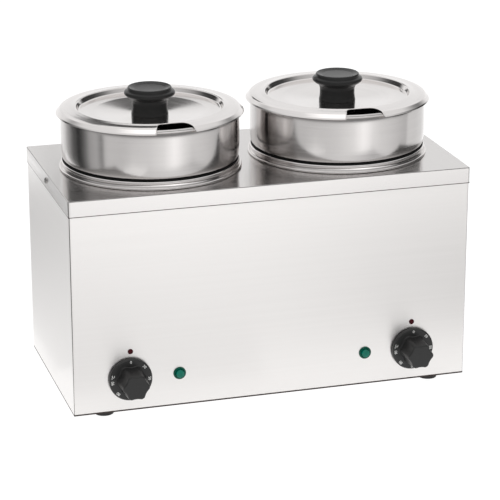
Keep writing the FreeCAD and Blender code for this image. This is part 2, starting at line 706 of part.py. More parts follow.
def notch_outline(sketch, outer):
    """Ladle notch: open towards -Y, with straight flared sides and two rounded corners."""
    half_in, half_out = dim("notch_inner_width") / 2, dim("notch_outer_width") / 2
    back, radius = dim("notch_back"), dim("notch_corner")
    flare = math.atan2((half_out - half_in).value, (outer - back).value)
    trim = radius.value * math.tan((math.pi / 2 - flare) / 2)
    side_x = trim * math.sin(flare)
    side_y = trim * math.cos(flare)
    outer_line = sketch.addGeometry(Part.LineSegment(
        Vector(-half_out.value, -outer.value, 0), Vector(half_out.value, -outer.value, 0)))
    pin(sketch, outer_line, 1, -half_out, -outer)
    pin(sketch, outer_line, 2, half_out, -outer)
    back_line = sketch.addGeometry(Part.LineSegment(
        Vector(-half_in.value + trim, -back.value, 0), Vector(half_in.value - trim, -back.value, 0)))
    for point, sign in ((1, -1), (2, 1)):
        flank = sketch.addGeometry(Part.LineSegment(
            Vector(sign * half_out.value, -outer.value, 0),
            Vector(sign * (half_in.value + side_x), -back.value - side_y, 0)))
        centre = Vector(sign * (half_in.value - trim), -back.value - radius.value, 0)
        round_part = Part.Circle(centre, Vector(0, 0, 1), radius.value)
        if sign < 0:
            arc = Part.ArcOfCircle(round_part, math.pi / 2, math.pi - flare)
        else:
            arc = Part.ArcOfCircle(round_part, flare, math.pi / 2)
        bend = sketch.addGeometry(arc)
        back_end, flank_end = (1, 2) if sign < 0 else (2, 1)
        corner = sketch.addGeometry(Part.Point(Vector(sign * half_in.value, -back.value, 0)), True)
        pin(sketch, corner, 1, sign * half_in, -back)
        sketch.addConstraint(Sketcher.Constraint("Coincident", outer_line, point, flank, 1))
        sketch.addConstraint(Sketcher.Constraint("PointOnObject", corner, 1, flank))
        sketch.addConstraint(Sketcher.Constraint("PointOnObject", corner, 1, back_line))
        sketch.addConstraint(Sketcher.Constraint("Tangent", bend, back_end, back_line, point))
        sketch.addConstraint(Sketcher.Constraint("Tangent", bend, flank_end, flank, 2))
        drive(sketch, "Radius", (bend,), radius)


def lid(side, sign):
    """Lid with a dished disc, a step, a wide brim rolled over the rim and a ladle notch."""
    t = dim("lid_sheet")
    curl = dim("lid_curl")
    edge_radius, edge_height = dim("lid_edge_radius"), dim("lid_edge_height")
    above = [
        (dim("lid_hole_radius"), dim("lid_seat_height")),
        (dim("lid_seat_radius"), dim("lid_seat_height")),
        (dim("lid_disc_radius"), dim("lid_disc_height")),
        (dim("lid_ridge_radius"), dim("lid_ridge_height")),
        (dim("lid_brim_radius"), dim("lid_brim_height")),
        (dim("lid_roll_radius"), dim("lid_roll_height")),
        (edge_radius, edge_height),
        (edge_radius - curl, edge_height - curl),
    ]
    below = [
        (edge_radius - curl - t, edge_height - curl + t * 0.3),
        (edge_radius - t, edge_height - t * 0.2),
        (dim("lid_roll_radius") - t * 0.4, dim("lid_roll_height") - t),
        (dim("lid_brim_radius"), dim("lid_brim_height") - t),
        (dim("lid_ridge_radius") + t * 0.75, dim("lid_ridge_height") - t),
        (dim("lid_disc_radius") + t * 0.75, dim("lid_disc_height") - t),
        (dim("lid_seat_radius"), dim("lid_seat_height") - t),
        (dim("lid_hole_radius"), dim("lid_seat_height") - t),
    ]
    body = turned("lid_" + side, [above + below])
    for radius, height, bend in ((dim("lid_disc_radius"), dim("lid_disc_height"), dim("lid_step_bend")),
                                 (dim("lid_ridge_radius"), dim("lid_ridge_height"), dim("lid_step_bend")),
                                 (dim("lid_roll_radius"), dim("lid_roll_height"), dim("lid_roll_bend")),
                                 (edge_radius, edge_height, dim("lid_edge_bend"))):
        round_edges(body, bend, ring_edges(radius.value, height.value))

    notch = new_sketch(body, height=dim("lid_ridge_height") + dim("notch_overrun"))
    notch_outline(notch, edge_radius + dim("notch_overrun"))
    pocket(body, notch, dim("notch_depth"))
    turn = Rotation(Vector(0, 0, 1), DIMENSIONS["notch_turn_" + side])
    keep(body, sign * pot_centre, 0, dim("deck_height"), turn)


def lid_knob(side, sign):
    """Mushroom knob with a waisted stem, a rolled cap and a blind bore for its screw."""
    bore = dim("knob_screw_radius") + dim("nut_clearance")
    outline = [
        (bore, 0), (dim("knob_foot_radius"), 0), (dim("knob_stem_radius"), dim("knob_stem_height")),
        (dim("knob_stem_radius"), dim("knob_neck_height")),
        (dim("knob_flare_radius"), dim("knob_flare_height")),
        (dim("knob_cap_radius"), dim("knob_cap_height")),
        (dim("knob_cap_radius"), dim("knob_shoulder_height")),
        (dim("knob_top_radius"), dim("knob_top_height")),
        (dim("knob_dish_radius"), dim("knob_top_height")),
        (dim("knob_dish_radius") - dim("knob_dish_slope"), dim("knob_top_height") - dim("knob_dish_depth")),
        (0, dim("knob_top_height") - dim("knob_dish_depth")),
        (0, dim("knob_bore_depth")), (bore, dim("knob_bore_depth")),
    ]
    body = turned("lid_knob_" + side, [outline])
    for radius, height, bend in (("knob_flare_radius", "knob_flare_height", "knob_neck_bend"),
                                 ("knob_stem_radius", "knob_neck_height", "knob_neck_bend"),
                                 ("knob_cap_radius", "knob_cap_height", "knob_cap_bend"),
                                 ("knob_cap_radius", "knob_shoulder_height", "knob_cap_bend")):
        round_edges(body, dim(bend), ring_edges(dim(radius).value, dim(height).value))
    keep(body, sign * pot_centre, 0, dim("deck_height") + dim("lid_seat_height"))


def lid_knob_fixing(side, sign):
    """Screw and washer that hold the knob from below the lid."""
    underside = dim("deck_height") + dim("lid_seat_height") - dim("lid_sheet")
    low, high = -dim("knob_washer_height"), 0
    inner, outer = dim("knob_screw_radius") + 0.1, dim("knob_washer_radius")
    washer = turned("lid_washer_" + side, [[(inner, low), (outer, low), (outer, high), (inner, high)]])
    keep(washer, sign * pot_centre, 0, underside)
    reach = dim("knob_washer_height") + dim("lid_sheet") + dim("knob_bore_depth") - 2
    screw = headed_pin("lid_knob_screw_" + side, dim("knob_screw_head"), dim("knob_screw_head_height"),
                       dim("knob_screw_radius"), reach)
    keep(screw, sign * pot_centre, 0, underside - dim("knob_washer_height"), DOWNWARD)


# --- front panel ---------------------------------------------------------------

def dial(side, sign):
    """Thermostat knob: a skirt that carries the scale and a tapered grip with shallow flutes."""
    body = new_body("dial_" + side)
    skirt = new_sketch(body)
    circle(skirt, 0, 0, dim("dial_radius"))
    pad(body, skirt, dim("dial_skirt"))
    round_edges(body, dim("dial_rim_edge"), ring_edges(dim("dial_radius").value, dim("dial_skirt").value))
    grip = new_sketch(body, height=dim("dial_skirt"))
    circle(grip, 0, 0, dim("grip_base_radius"))
    pad(body, grip, dim("dial_length") - dim("dial_skirt"), taper=-dim("grip_taper"))
    flute = new_sketch(body, height=dim("dial_length"))
    circle(flute, 0, dim("grip_flute_centre"), dim("grip_flute_radius"))
    cut = pocket(body, flute, dim("dial_length") - dim("dial_skirt"), taper=-dim("grip_flute_taper"))
    repeat_round(body, cut, DIMENSIONS["grip_flutes"])
    recess = new_sketch(body)
    circle(recess, 0, 0, dim("dial_recess_radius"))
    circle(recess, 0, 0, dim("dial_boss_radius"))
    pocket(body, recess, dim("dial_recess_depth"), backwards=True)
    bore = new_sketch(body)
    circle(bore, 0, 0, dim("dial_bore_radius"))
    pocket(body, bore, dim("dial_bore_depth"), backwards=True)
    keep(body, sign * dim("dial_x"), -dial_back, dim("dial_z"), TO_FRONT)


def thermostat_body(side, sign):
    """Switch block with a bushing through the panel; z is measured out of the panel's inside."""
    body = new_body("thermostat_body_" + side)
    block = new_sketch(body, height=-dim("thermostat_depth"))
    rectangle(block, dim("thermostat_width"), dim("thermostat_height"))
    pad(body, block, dim("thermostat_depth"))
    bushing = new_sketch(body)
    circle(bushing, 0, 0, dim("bushing_radius"))
    pad(body, bushing, dim("sheet"))
    bore = new_sketch(body, height=dim("sheet"))
    circle(bore, 0, 0, dim("shaft_hole"))
    pocket(body, bore, dim("shaft_inner") + dim("sheet") + 1)
    fixings = new_sketch(body)
    for offset in (-1, 1):
        circle(fixings, offset * dim("fixing_offset"), 0, dim("fixing_hole"))
    pocket(body, fixings, dim("fixing_length"))
    spots = [(dim("thermostat_tab_x") * side_sign, -dim("thermostat_tab_drop")) for _, side_sign in SIDES]
    push_tabs(body, -dim("thermostat_depth"), spots)
    keep(body, sign * dim("dial_x"), -panel_inside, dim("dial_z"), TO_FRONT)


def thermostat_shaft(side, sign):
    body = new_body("thermostat_shaft_" + side)
    rod = new_sketch(body, height=-dim("shaft_inner"))
    circle(rod, 0, 0, dim("shaft_radius"))
    pad(body, rod, dim("shaft_inner") + 2 * dim("sheet") + dim("dial_gap") + dim("shaft_outer"))
    flat = new_sketch(body, height=2 * dim("sheet") + dim("dial_gap") + dim("shaft_outer"))
    reach = dim("shaft_radius")
    level = dim("shaft_flat")
    polygon(flat, [(-reach, level), (reach, level), (reach, reach + 1), (-reach, reach + 1)])
    pocket(body, flat, dim("shaft_outer") - dim("shaft_flat_start"))
    keep(body, sign * dim("dial_x"), -panel_inside, dim("dial_z"), TO_FRONT)


def thermostat_bulb(side, sign):
    """Sensing bulb on the well's front wall with the capillary down to its thermostat."""
    reach = DIMENSIONS["well_radius"] + DIMENSIONS["well_sheet"] + DIMENSIONS["bulb_radius"]
    reach += DIMENSIONS["bulb_gap"]
    x = sign * DIMENSIONS["well_spacing"] / 2
    low = well_bottom.value + DIMENSIONS["bulb_lift"]
    drop, slant = DIMENSIONS["capillary_drop"], DIMENSIONS["capillary_slant"]
    entry = DIMENSIONS["capillary_entry"]
    bulb = Part.makeCylinder(DIMENSIONS["bulb_radius"], DIMENSIONS["bulb_length"], Vector(x, -reach, low))
    top = DIMENSIONS["dial_z"] + DIMENSIONS["thermostat_height"] / 2
    end_x = sign * (DIMENSIONS["dial_x"] - entry)
    depth = panel_inside.value - DIMENSIONS["thermostat_depth"] / 2
    points = [
        Vector(x, -reach, low + 1), Vector(x, -reach, low - drop),
        Vector(x + sign * slant, -reach, low - drop - slant),
        Vector(end_x - sign * entry, -depth, top + 4 * entry),
        Vector(end_x, -depth, top + 2 * entry), Vector(end_x, -depth, top),
    ]
    name = "thermostat_bulb_" + side
    feature = doc.addObject("Part::Feature", name)
    feature.Label = name
    feature.Shape = bulb.fuse(tube_along(points, DIMENSIONS["capillary_radius"]))
    nodes[name] = feature


def thermostat_screws():
    members = []
    for side, sign in SIDES:
        for number, offset in enumerate((-1, 1), start=1):
            screw = headed_pin("thermostat_screw_%s_%d" % (side, number), dim("fixing_head_radius"),
                               dim("fixing_head_height"), dim("fixing_radius"), dim("fixing_length"))
            x = sign * dim("dial_x") + offset * dim("fixing_offset")
            place(screw, x, -panel_y, dim("dial_z"), TO_FRONT)
            members.append(screw)
    group("thermostat_screws", members)


def pilot_lamp(side, sign):
    """Domed lens on the panel and the lamp's barrel with two tabs behind it."""
    flange = dim("lamp_flange_radius")
    outline = [
        (0, 0), (flange, 0), (flange, dim("lamp_flange_height") * 0.6),
        (flange - 1, dim("lamp_flange_height")), (dim("lamp_dome_radius"), dim("lamp_flange_height")),
        (dim("lamp_dome_radius"), dim("lamp_dome_height") * 0.75),
        (dim("lamp_dome_radius") * 0.6, dim("lamp_dome_height")), (0, dim("lamp_dome_height")),
    ]
    lens = turned("lamp_lens_" + side, [outline])
    keep(lens, sign * dim("lamp_x"), -panel_y, dim("lamp_z"), TO_FRONT)
    body = new_body("lamp_body_" + side)
    barrel = new_sketch(body, height=-dim("lamp_barrel_length"))
    circle(barrel, 0, 0, dim("lamp_barrel_radius"))
    pad(body, barrel, dim("lamp_barrel_length"))
    spots = [(dim("tab_spacing") / 2 * side_sign, 0) for _, side_sign in SIDES]
    push_tabs(body, -dim("lamp_barrel_length"), spots)
    keep(body, sign * dim("lamp_x"), -panel_y, dim("lamp_z"), TO_FRONT)


def index_marker(side, sign):
    pin_piece = headed_pin("index_marker_" + side, dim("marker_radius"), dim("marker_height"),
                           dim("marker_pin_radius"), dim("marker_pin_length"))
    keep(pin_piece, sign * dim("marker_x"), -panel_y, dim("marker_z"), TO_FRONT)


# --- mains side ----------------------------------------------------------------

def terminal_block():
    body = new_body("terminal_block")
    block = new_sketch(body)
    rectangle(block, dim("terminal_width"), dim("terminal_depth"))
    pad(body, block, dim("terminal_height"))
    hole = new_sketch(body, height=dim("terminal_height"))
    circle(hole, -dim("terminal_pitch"), 0, dim("terminal_hole"))
    cut = pocket(body, hole, dim("terminal_height") * 0.6)
    repeat_along(body, cut, "X_Axis", 2 * dim("terminal_pitch"), 3)
    keep(body, 0, dim("terminal_y"), shell_base)


def cable_gland():
    """Gland body through the rear wall, its clamping nut outside and its locknut inside."""
    x, z = -dim("gland_x"), dim("gland_z")
    body = new_body("cable_gland")
    barrel = new_sketch(body, height=-dim("gland_tail"))
    circle(barrel, 0, 0, dim("gland_thread"))
    pad(body, barrel, dim("gland_tail") + dim("gland_collar") + dim("gland_spout"))
    collar = new_sketch(body)
    hexagon(collar, dim("gland_hex"))
    pad(body, collar, dim("gland_collar"))
    bore = new_sketch(body, height=-dim("gland_tail"))
    circle(bore, 0, 0, dim("gland_bore"))
    pocket(body, bore, dim("gland_bore_reach"), backwards=True)
    keep(body, x, panel_y, z, TO_REAR)

    nut = new_body("gland_nut")
    cap = new_sketch(nut)
    hexagon(cap, dim("gland_hex"))
    pad(nut, cap, dim("gland_nut_length") - dim("gland_dome"))
    dome = new_sketch(nut, "XZ_Plane")
    low = dim("gland_nut_length") - dim("gland_dome")
    polygon(dome, [(0, low - 1), (dim("gland_hex") / 2, low - 1), (dim("gland_hex") / 2, low),
                   (dim("gland_mouth") + dim("gland_lip"), low + dim("gland_dome") * 0.75),
                   (dim("gland_mouth"), dim("gland_nut_length")), (0, dim("gland_nut_length"))])
    revolve(nut, dome)
    thread = new_sketch(nut)
    circle(thread, 0, 0, dim("gland_thread") + dim("nut_clearance"))
    pocket(nut, thread, dim("gland_spout") + 1, backwards=True)
    mouth = new_sketch(nut)
    circle(mouth, 0, 0, dim("gland_bore"))
    pocket(nut, mouth, dim("gland_bore_reach"), backwards=True)
    keep(nut, x, panel_y + dim("gland_collar") + dim("gland_nut_gap"), z, TO_REAR)

    locknut = prism_nut("gland_locknut", dim("locknut_hex"), dim("gland_thread"), dim("locknut_height"))
    keep(locknut, x, panel_inside - dim("locknut_height"), z, TO_REAR)


def earth_stud():
    rod = doc.addObject("Part::Cylinder", "earth_rod")
    bind(rod, "Radius", dim("earth_radius"))
    bind(rod, "Height", dim("earth_length"))
    place(rod, dim("earth_x"), dim("terminal_y"), shell_base)
    nut = prism_nut("earth_nut", dim("earth_nut_width"), dim("earth_radius"), dim("earth_nut_height"))
    place(nut, dim("earth_x"), dim("terminal_y"), shell_base)
    group("earth_stud", [rod, nut])


def wiring(side, sign):
    """Loom from the terminal block along the base to the back of a thermostat."""
    start_y = DIMENSIONS["terminal_y"] - DIMENSIONS["terminal_depth"] / 2
    end_y = -(panel_inside.value - DIMENSIONS["thermostat_depth"])
    end_x = sign * DIMENSIONS["dial_x"]
    points = [
        Vector(sign * 16, start_y, 20), Vector(sign * 16, start_y - 26, 20),
        Vector(sign * 52, start_y - 52, 16), Vector(sign * 110, -8, 16), Vector(sign * 165, -30, 18),
        Vector(end_x - sign * 2, end_y + 36, 30), Vector(end_x, end_y + 14, 46), Vector(end_x, end_y, 46),
    ]
    name = "wiring_" + side
    feature = doc.addObject("Part::Feature", name)
    feature.Label = name
    feature.Shape = tube_along(points, DIMENSIONS["wire_radius"])
    nodes[name] = feature


# --- fastener groups -----------------------------------------------------------

def foot_fasteners():
    screws, nuts = [], []
    for corner, sx, sy in CORNERS:
        x, y = sx * dim("foot_x"), sy * dim("foot_y")
        screw = headed_pin("foot_screw_" + corner, dim("foot_screw_head"), dim("foot_screw_head_height"),
                           dim("foot_screw_radius"), dim("foot_screw_length"))
        place(screw, x, y, dim("foot_recess_depth"), DOWNWARD)
        screws.append(screw)
        nut = prism_nut("foot_nut_" + corner, dim("foot_nut_width"), dim("foot_screw_radius"),
                        dim("foot_nut_height"))
        place(nut, x, y, shell_base)
        nuts.append(nut)
    group("foot_screws", screws)
    group("foot_nuts", nuts)


def cover_screws():
    members = []
    for side, sign in SIDES:
        screw = headed_pin("cover_screw_" + side, dim("cover_screw_head"), dim("cover_screw_head_height"),
                           dim("cover_screw_radius"), dim("cover_screw_length"))
        rotation = TO_RIGHT if sign > 0 else TO_LEFT
        place(screw, sign * half_width, 0, dim("deck_height") - dim("cover_screw_drop"), rotation)
        members.append(screw)
    group("cover_screws", members)


def base_screws():
    members = []
    for number, (sx, sy) in enumerate(BASE_SCREW_SPOTS, start=1):
        screw = headed_pin("base_screw_%d" % number, dim("base_screw_head"), dim("base_screw_head_height"),
                           dim("base_screw_radius"), dim("base_screw_length"))
        place(screw, sx * dim("base_screw_x"), sy * base_screw_y, dim("foot_height"), DOWNWARD)
        members.append(screw)
    group("base_screws", members)


# --- build, check and write ----------------------------------------------------

housing_shell()
base_plate()
top_cover()
for corner, sx, sy in CORNERS:
    foot("foot_" + corner, sx, sy)
for side, sign in SIDES:
    for piece in (well, insulation_sleeve, heater_element, heater_clamp, thermal_cutout,
                  thermostat_body, thermostat_shaft, thermostat_bulb, pilot_lamp, index_marker,
                  wiring, dial, pot, lid, lid_knob, lid_knob_fixing):
        piece(side, sign)
heater_fixings()
thermostat_screws()
terminal_block()
cable_gland()
earth_stud()
foot_fasteners()
cover_screws()
base_screws()
doc.recompute()

for item in doc.Objects:
    if "Invalid" in item.State or "Error" in item.State:
        raise RuntimeError("%s failed: %s" % (item.Label, item.State))
for name, item in nodes.items():
    if item.Shape.isNull() or not item.Shape.isValid() or not item.Shape.Solids:
        raise RuntimeError(name + " has no valid solid")

os.makedirs("parts", exist_ok=True)
for name, item in sorted(nodes.items()):
    item.Shape.exportStep(os.path.join("parts", name + ".step"))
    box = item.Shape.BoundBox
    print("%-26s solids %d  volume %9.0f  z %7.1f to %7.1f"
          % (name, len(item.Shape.Solids), item.Shape.Volume, box.ZMin, box.ZMax))
print("nodes:", len(nodes))
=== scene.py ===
import json
import math

import bmesh
import bpy
from mathutils import Matrix, Vector


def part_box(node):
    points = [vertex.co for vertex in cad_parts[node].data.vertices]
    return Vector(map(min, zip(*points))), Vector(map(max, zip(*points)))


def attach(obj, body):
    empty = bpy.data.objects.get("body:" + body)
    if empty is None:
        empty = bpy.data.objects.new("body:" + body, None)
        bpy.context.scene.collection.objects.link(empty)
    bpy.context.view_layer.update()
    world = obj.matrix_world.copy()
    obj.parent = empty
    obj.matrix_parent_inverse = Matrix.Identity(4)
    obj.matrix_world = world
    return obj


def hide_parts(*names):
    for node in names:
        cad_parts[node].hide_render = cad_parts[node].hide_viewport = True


# Looks of the two-pot soup kettle, in the CAD frame: +X to the right, the front
# faces -Y, +Z up. The kettle's outlines are written in millimetres and scaled by
# MM. The studio and the camera are in metres.

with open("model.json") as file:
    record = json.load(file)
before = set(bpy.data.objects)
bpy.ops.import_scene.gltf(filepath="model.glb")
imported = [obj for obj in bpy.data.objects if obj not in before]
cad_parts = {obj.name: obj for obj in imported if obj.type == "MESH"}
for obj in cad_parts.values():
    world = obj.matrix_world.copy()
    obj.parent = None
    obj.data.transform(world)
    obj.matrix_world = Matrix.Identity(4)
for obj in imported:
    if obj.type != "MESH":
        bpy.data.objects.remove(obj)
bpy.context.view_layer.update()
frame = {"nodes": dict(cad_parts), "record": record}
scene = bpy.context.scene

MM = 0.001
SIDES = ("left", "right")
NOTCH_TURN = {"left": 2, "right": -1}           # degrees that each lid stands turned

# In millimetres:
POT_SHEET = 1.0         # thickness of the pots' steel
LID_SHEET = 0.8         # thickness of the lids' steel
LID_MIDDLE = 70         # height of a lid's middle above the deck
SKIRT_FACE = 5.5        # height of a dial skirt's face above the panel


def middle(node):
    """Middle of a CAD node's box."""
    low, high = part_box(node)
    return (low + high) / 2


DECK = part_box("top_cover")[1].z
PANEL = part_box("housing_shell")[0].y            # outer face of the front panel
DIAL_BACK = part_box("dial_left")[1].y
DIAL_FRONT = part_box("dial_left")[0].y


# --- outlines --------------------------------------------------------------------

def arc(x, z, radius, start, end, steps=12):
    """Points on an arc about (x, z), from the start to the end angle in degrees."""
    angles = [math.radians(start + (end - start) * i / steps) for i in range(steps + 1)]
    return [(x + radius * math.cos(a), z + radius * math.sin(a)) for a in angles]


def rounded(corners, steps=6):
    """An open outline through corners (x, z) or (x, z, radius): a radius makes an arc of the corner."""
    longest_trim = 0.48         # share of an edge that one arc may take
    points = []
    for i, corner in enumerate(corners):
        if len(corner) == 2 or i in (0, len(corners) - 1):
            points.append(corner[:2])
            continue
        here = Vector(corner[:2])
        back = Vector(corners[i - 1][:2]) - here
        ahead = Vector(corners[i + 1][:2]) - here
        half = back.angle(ahead) / 2
        trim = min(corner[2] / math.tan(half), longest_trim * back.length, longest_trim * ahead.length)
        radius = trim * math.tan(half)
        back.normalize()
        ahead.normalize()
        centre = here + (back + ahead).normalized() * (radius / math.sin(half))
        first = here + back * trim - centre
        last = here + ahead * trim - centre
        swing = first.angle_signed(last)
        for k in range(steps + 1):
            spoke = first.copy()
            spoke.rotate(Matrix.Rotation(-swing * k / steps, 2))
            points.append(tuple(centre + spoke))
    return points


def smooth(corners, steps=8):
    """A smooth line through the corners (Catmull-Rom)."""
    padded = [corners[0]] + list(corners) + [corners[-1]]
    points = []
    for i in range(1, len(padded) - 2):
        p0, p1, p2, p3 = (Vector(p) for p in padded[i - 1:i + 3])
        for k in range(steps):
            t = k / steps
            point = 0.5 * (2 * p1 + (p2 - p0) * t + (2 * p0 - 5 * p1 + 4 * p2 - p3) * t ** 2
                           + (3 * p1 - p0 - 3 * p2 + p3) * t ** 3)
            points.append(tuple(point))
    points.append(tuple(corners[-1]))
    return points


def offset(points, distance):
    """The same open line, moved sideways by the distance (to the right of its direction)."""
    moved = []
    for i, point in enumerate(points):
        before = Vector(points[max(i - 1, 0)])
        after = Vector(points[min(i + 1, len(points) - 1)])
        along = (after - before).normalized()
        moved.append((point[0] + along.y * distance, point[1] - along.x * distance))
    return moved


# --- mesh pieces -------------------------------------------------------------------

def add_mesh(name, vertices, faces):
    mesh = bpy.data.meshes.new(name)
    mesh.from_pydata(vertices, [], faces)
    mesh.validate()
    piece = bpy.data.objects.new(name, mesh)
    scene.collection.objects.link(piece)
    return piece


def soften(piece, angle=38):
    """Smooth shading with crisp edges above the angle, and normals that follow the large faces."""
    piece.data.shade_smooth()
    piece.data.set_sharp_from_angle(angle=math.radians(angle))
    weighted = piece.modifiers.new("Normals", "WEIGHTED_NORMAL")
    weighted.keep_sharp = True
    weighted.weight = 90


def outward(piece):
    """Merges doubled points and turns every face to the outside."""
    work = bmesh.new()
    work.from_mesh(piece.data)
    bmesh.ops.remove_doubles(work, verts=work.verts, dist=1e-7)
    bmesh.ops.recalc_face_normals(work, faces=work.faces)
    work.to_mesh(piece.data)
    work.free()


def turned(name, outline, place, closed=True, segments=192, tilt=None):
    """Solid of revolution of an outline (radius, height) in millimetres about the local Z axis."""
    vertices, rings = [], []
    for radius, height in outline:
        first = len(vertices)
        if radius < 1e-6:
            vertices.append((0, 0, height * MM))
            rings.append([first] * segments)
            continue
        for k in range(segments):
            a = 2 * math.pi * k / segments
            vertices.append((radius * MM * math.cos(a), radius * MM * math.sin(a), height * MM))
        rings.append(list(range(first, first + segments)))
    pairs = list(zip(rings, rings[1:]))
    if closed:
        pairs.append((rings[-1], rings[0]))
    faces = []
    for low, high in pairs:
        for k in range(segments):
            n = (k + 1) % segments
            corners = list(dict.fromkeys((low[k], low[n], high[n], high[k])))
            if len(corners) > 2:
                faces.append(corners)
    piece = add_mesh(name, vertices, faces)
    outward(piece)
    soften(piece)
    put(piece, place, tilt)
    return piece


def put(piece, place, tilt=None):
    """Moves the piece to its place; tilt is a rotation that is applied first."""
    matrix = Matrix.Translation(place)
    if tilt is not None:
        matrix = matrix @ tilt.to_4x4()
    piece.data.transform(matrix)


def freeze(piece):
    """Applies the piece's modifiers to its mesh."""
    graph = bpy.context.evaluated_depsgraph_get()
    mesh = bpy.data.meshes.new_from_object(piece.evaluated_get(graph))
    piece.modifiers.clear()
    piece.data = mesh


def cut(piece, cutter):
    """Takes the cutter away from the piece."""
    piece.modifiers.clear()
    boolean = piece.modifiers.new("Cut", "BOOLEAN")
    boolean.operation = "DIFFERENCE"
    boolean.solver = "EXACT"
    boolean.object = cutter
    freeze(piece)
    bpy.data.objects.remove(cutter)


def prism(name, outline, low, high):
    """Upright prism over a plan outline in millimetres, between two heights."""
    count = len(outline)
    vertices = [(x * MM, y * MM, low * MM) for x, y in outline]
    vertices += [(x * MM, y * MM, high * MM) for x, y in outline]
    faces = [list(range(count)), list(range(count, 2 * count))]
    faces += [[k, (k + 1) % count, count + (k + 1) % count, count + k] for k in range(count)]
    piece = add_mesh(name, vertices, faces)
    outward(piece)
    return piece


def finish_piece(piece, body, slot, material, *nodes):
    """Gives the piece its material and body and hides the CAD nodes it stands for; the slot is not used.
    """
    piece.data.materials.clear()
    piece.data.materials.append(material)
    if nodes:
        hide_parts(*nodes)
    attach(piece, body)


# --- materials ---------------------------------------------------------------------

class Look:
    """A procedural material: a Principled shader and the textures that feed it.

    Further sockets of the shader are set by name, with _ for each space.
    """

    def __init__(self, name, color, roughness, metallic=0.0, **sockets):
        self.material = bpy.data.materials.new(name)
        self.material.use_nodes = True
        self.tree = self.material.node_tree
        self.shader = self.tree.nodes["Principled BSDF"]
        self.shader.inputs["Base Color"].default_value = (*color, 1)
        self.shader.inputs["Roughness"].default_value = roughness
        self.shader.inputs["Metallic"].default_value = metallic
        for socket, value in sockets.items():
            self.shader.inputs[socket.replace("_", " ")].default_value = value
        self.coordinates = self.tree.nodes.new("ShaderNodeTexCoord").outputs["Object"]

    def node(self, kind, **settings):
        node = self.tree.nodes.new(kind)
        for key, value in settings.items():
            setattr(node, key, value)
        return node

    def link(self, source, target):
        self.tree.links.new(source, target)

    def noise(self, stretch, detail=2.0, distortion=0.0):
        """Noise with that many waves per metre along each axis."""
        mapping = self.node("ShaderNodeMapping")
        mapping.inputs["Scale"].default_value = stretch
        self.link(self.coordinates, mapping.inputs["Vector"])
        noise = self.node("ShaderNodeTexNoise")
        noise.inputs["Scale"].default_value = 1.0
        noise.inputs["Detail"].default_value = detail
        noise.inputs["Distortion"].default_value = distortion
        self.link(mapping.outputs["Vector"], noise.inputs["Vector"])
        return noise.outputs["Fac"]

    def spread(self, source, low, high, start=0.3, end=0.7):
        """The source's range from start to end, spread over low to high."""
        spread = self.node("ShaderNodeMapRange")
        for socket, value in (("From Min", start), ("From Max", end), ("To Min", low), ("To Max", high)):
            spread.inputs[socket].default_value = value
        self.link(source, spread.inputs["Value"])
        return spread.outputs["Result"]

    def shades(self, source, dark, light, start=0.3, end=0.7):
        """A colour between dark and light, by the source."""
        ramp = self.node("ShaderNodeValToRGB")
        ramp.color_ramp.elements[0].position = start
        ramp.color_ramp.elements[1].position = end
        ramp.color_ramp.elements[0].color = (*dark, 1)
        ramp.color_ramp.elements[1].color = (*light, 1)
        self.link(source, ramp.inputs["Fac"])
        return ramp.outputs["Color"]

    def drive(self, socket, source):
        self.link(source, self.shader.inputs[socket])

    def bump(self, source, height, strength=1.0):
        """Raises the surface by that many metres where the source is 1."""
        bump = self.node("ShaderNodeBump")
        bump.inputs["Distance"].default_value = height
        bump.inputs["Strength"].default_value = strength
        self.link(source, bump.inputs["Height"])
        previous = self.shader.inputs["Normal"].links
        if previous:
            self.link(previous[0].from_socket, bump.inputs["Normal"])
        self.link(bump.outputs["Normal"], self.shader.inputs["Normal"])

    def tangent(self, axis):
        tangent = self.node("ShaderNodeTangent", direction_type="RADIAL", axis=axis)
        self.link(tangent.outputs["Tangent"], self.shader.inputs["Tangent"])


WARM = (1.0, 0.965, 0.95)       # tint of polished stainless steel


def brushed_walls():
    """Stainless sheet brushed along the walls."""
    look = Look("brushed_walls", (0.88, 0.86, 0.845), roughness=0.3, metallic=1.0,
                Anisotropic=0.7, Anisotropic_Rotation=0.25)
    look.tangent("Z")
    fine = look.noise((4, 4, 1800), detail=3)
    streaks = look.noise((3, 3, 300), detail=4)
    look.drive("Roughness", look.spread(streaks, 0.28, 0.32))
    look.drive("Base Color", look.shades(streaks, (0.873, 0.852, 0.837), (0.889, 0.868, 0.853)))
    look.bump(fine, height=0.000002)
    return look.material


def brushed_deck():
    """Stainless sheet brushed along X, bright enough to mirror the pots."""
    look = Look("brushed_deck", (0.76, 0.75, 0.74), roughness=0.2, metallic=1.0, Anisotropic=0.8)
    look.tangent("X")
    fine = look.noise((4, 900, 900), detail=2)
    streaks = look.noise((3, 260, 260), detail=4)
    look.drive("Roughness", look.spread(streaks, 0.17, 0.22))
    look.drive("Base Color", look.shades(streaks, (0.72, 0.70, 0.69), (0.76, 0.74, 0.73)))
    look.bump(fine, height=0.0000006)
    return look.material


def spun_steel(name, roughness, anisotropy, shade, waviness):
    """Stainless polished on a spindle: fine rings, faint upright lines and slow waves."""
    look = Look(name, (shade,) * 3, roughness, metallic=1.0,
                Anisotropic=anisotropy, Anisotropic_Rotation=0.25)
    look.tangent("Z")
    waves = look.noise((18, 18, 7), detail=2)
    rings = look.noise((6, 6, 900), detail=3)
    look.drive("Roughness", look.spread(rings, roughness * 0.85, roughness * 1.2))
    dark, light = (tuple(shade * change * tint for tint in WARM) for change in (0.97, 1.03))
    look.drive("Base Color", look.shades(rings, dark, light))
    look.bump(waves, waviness)
    lines = look.noise((260, 260, 3), detail=2)
    look.bump(lines, height=0.000006)
    return look.material


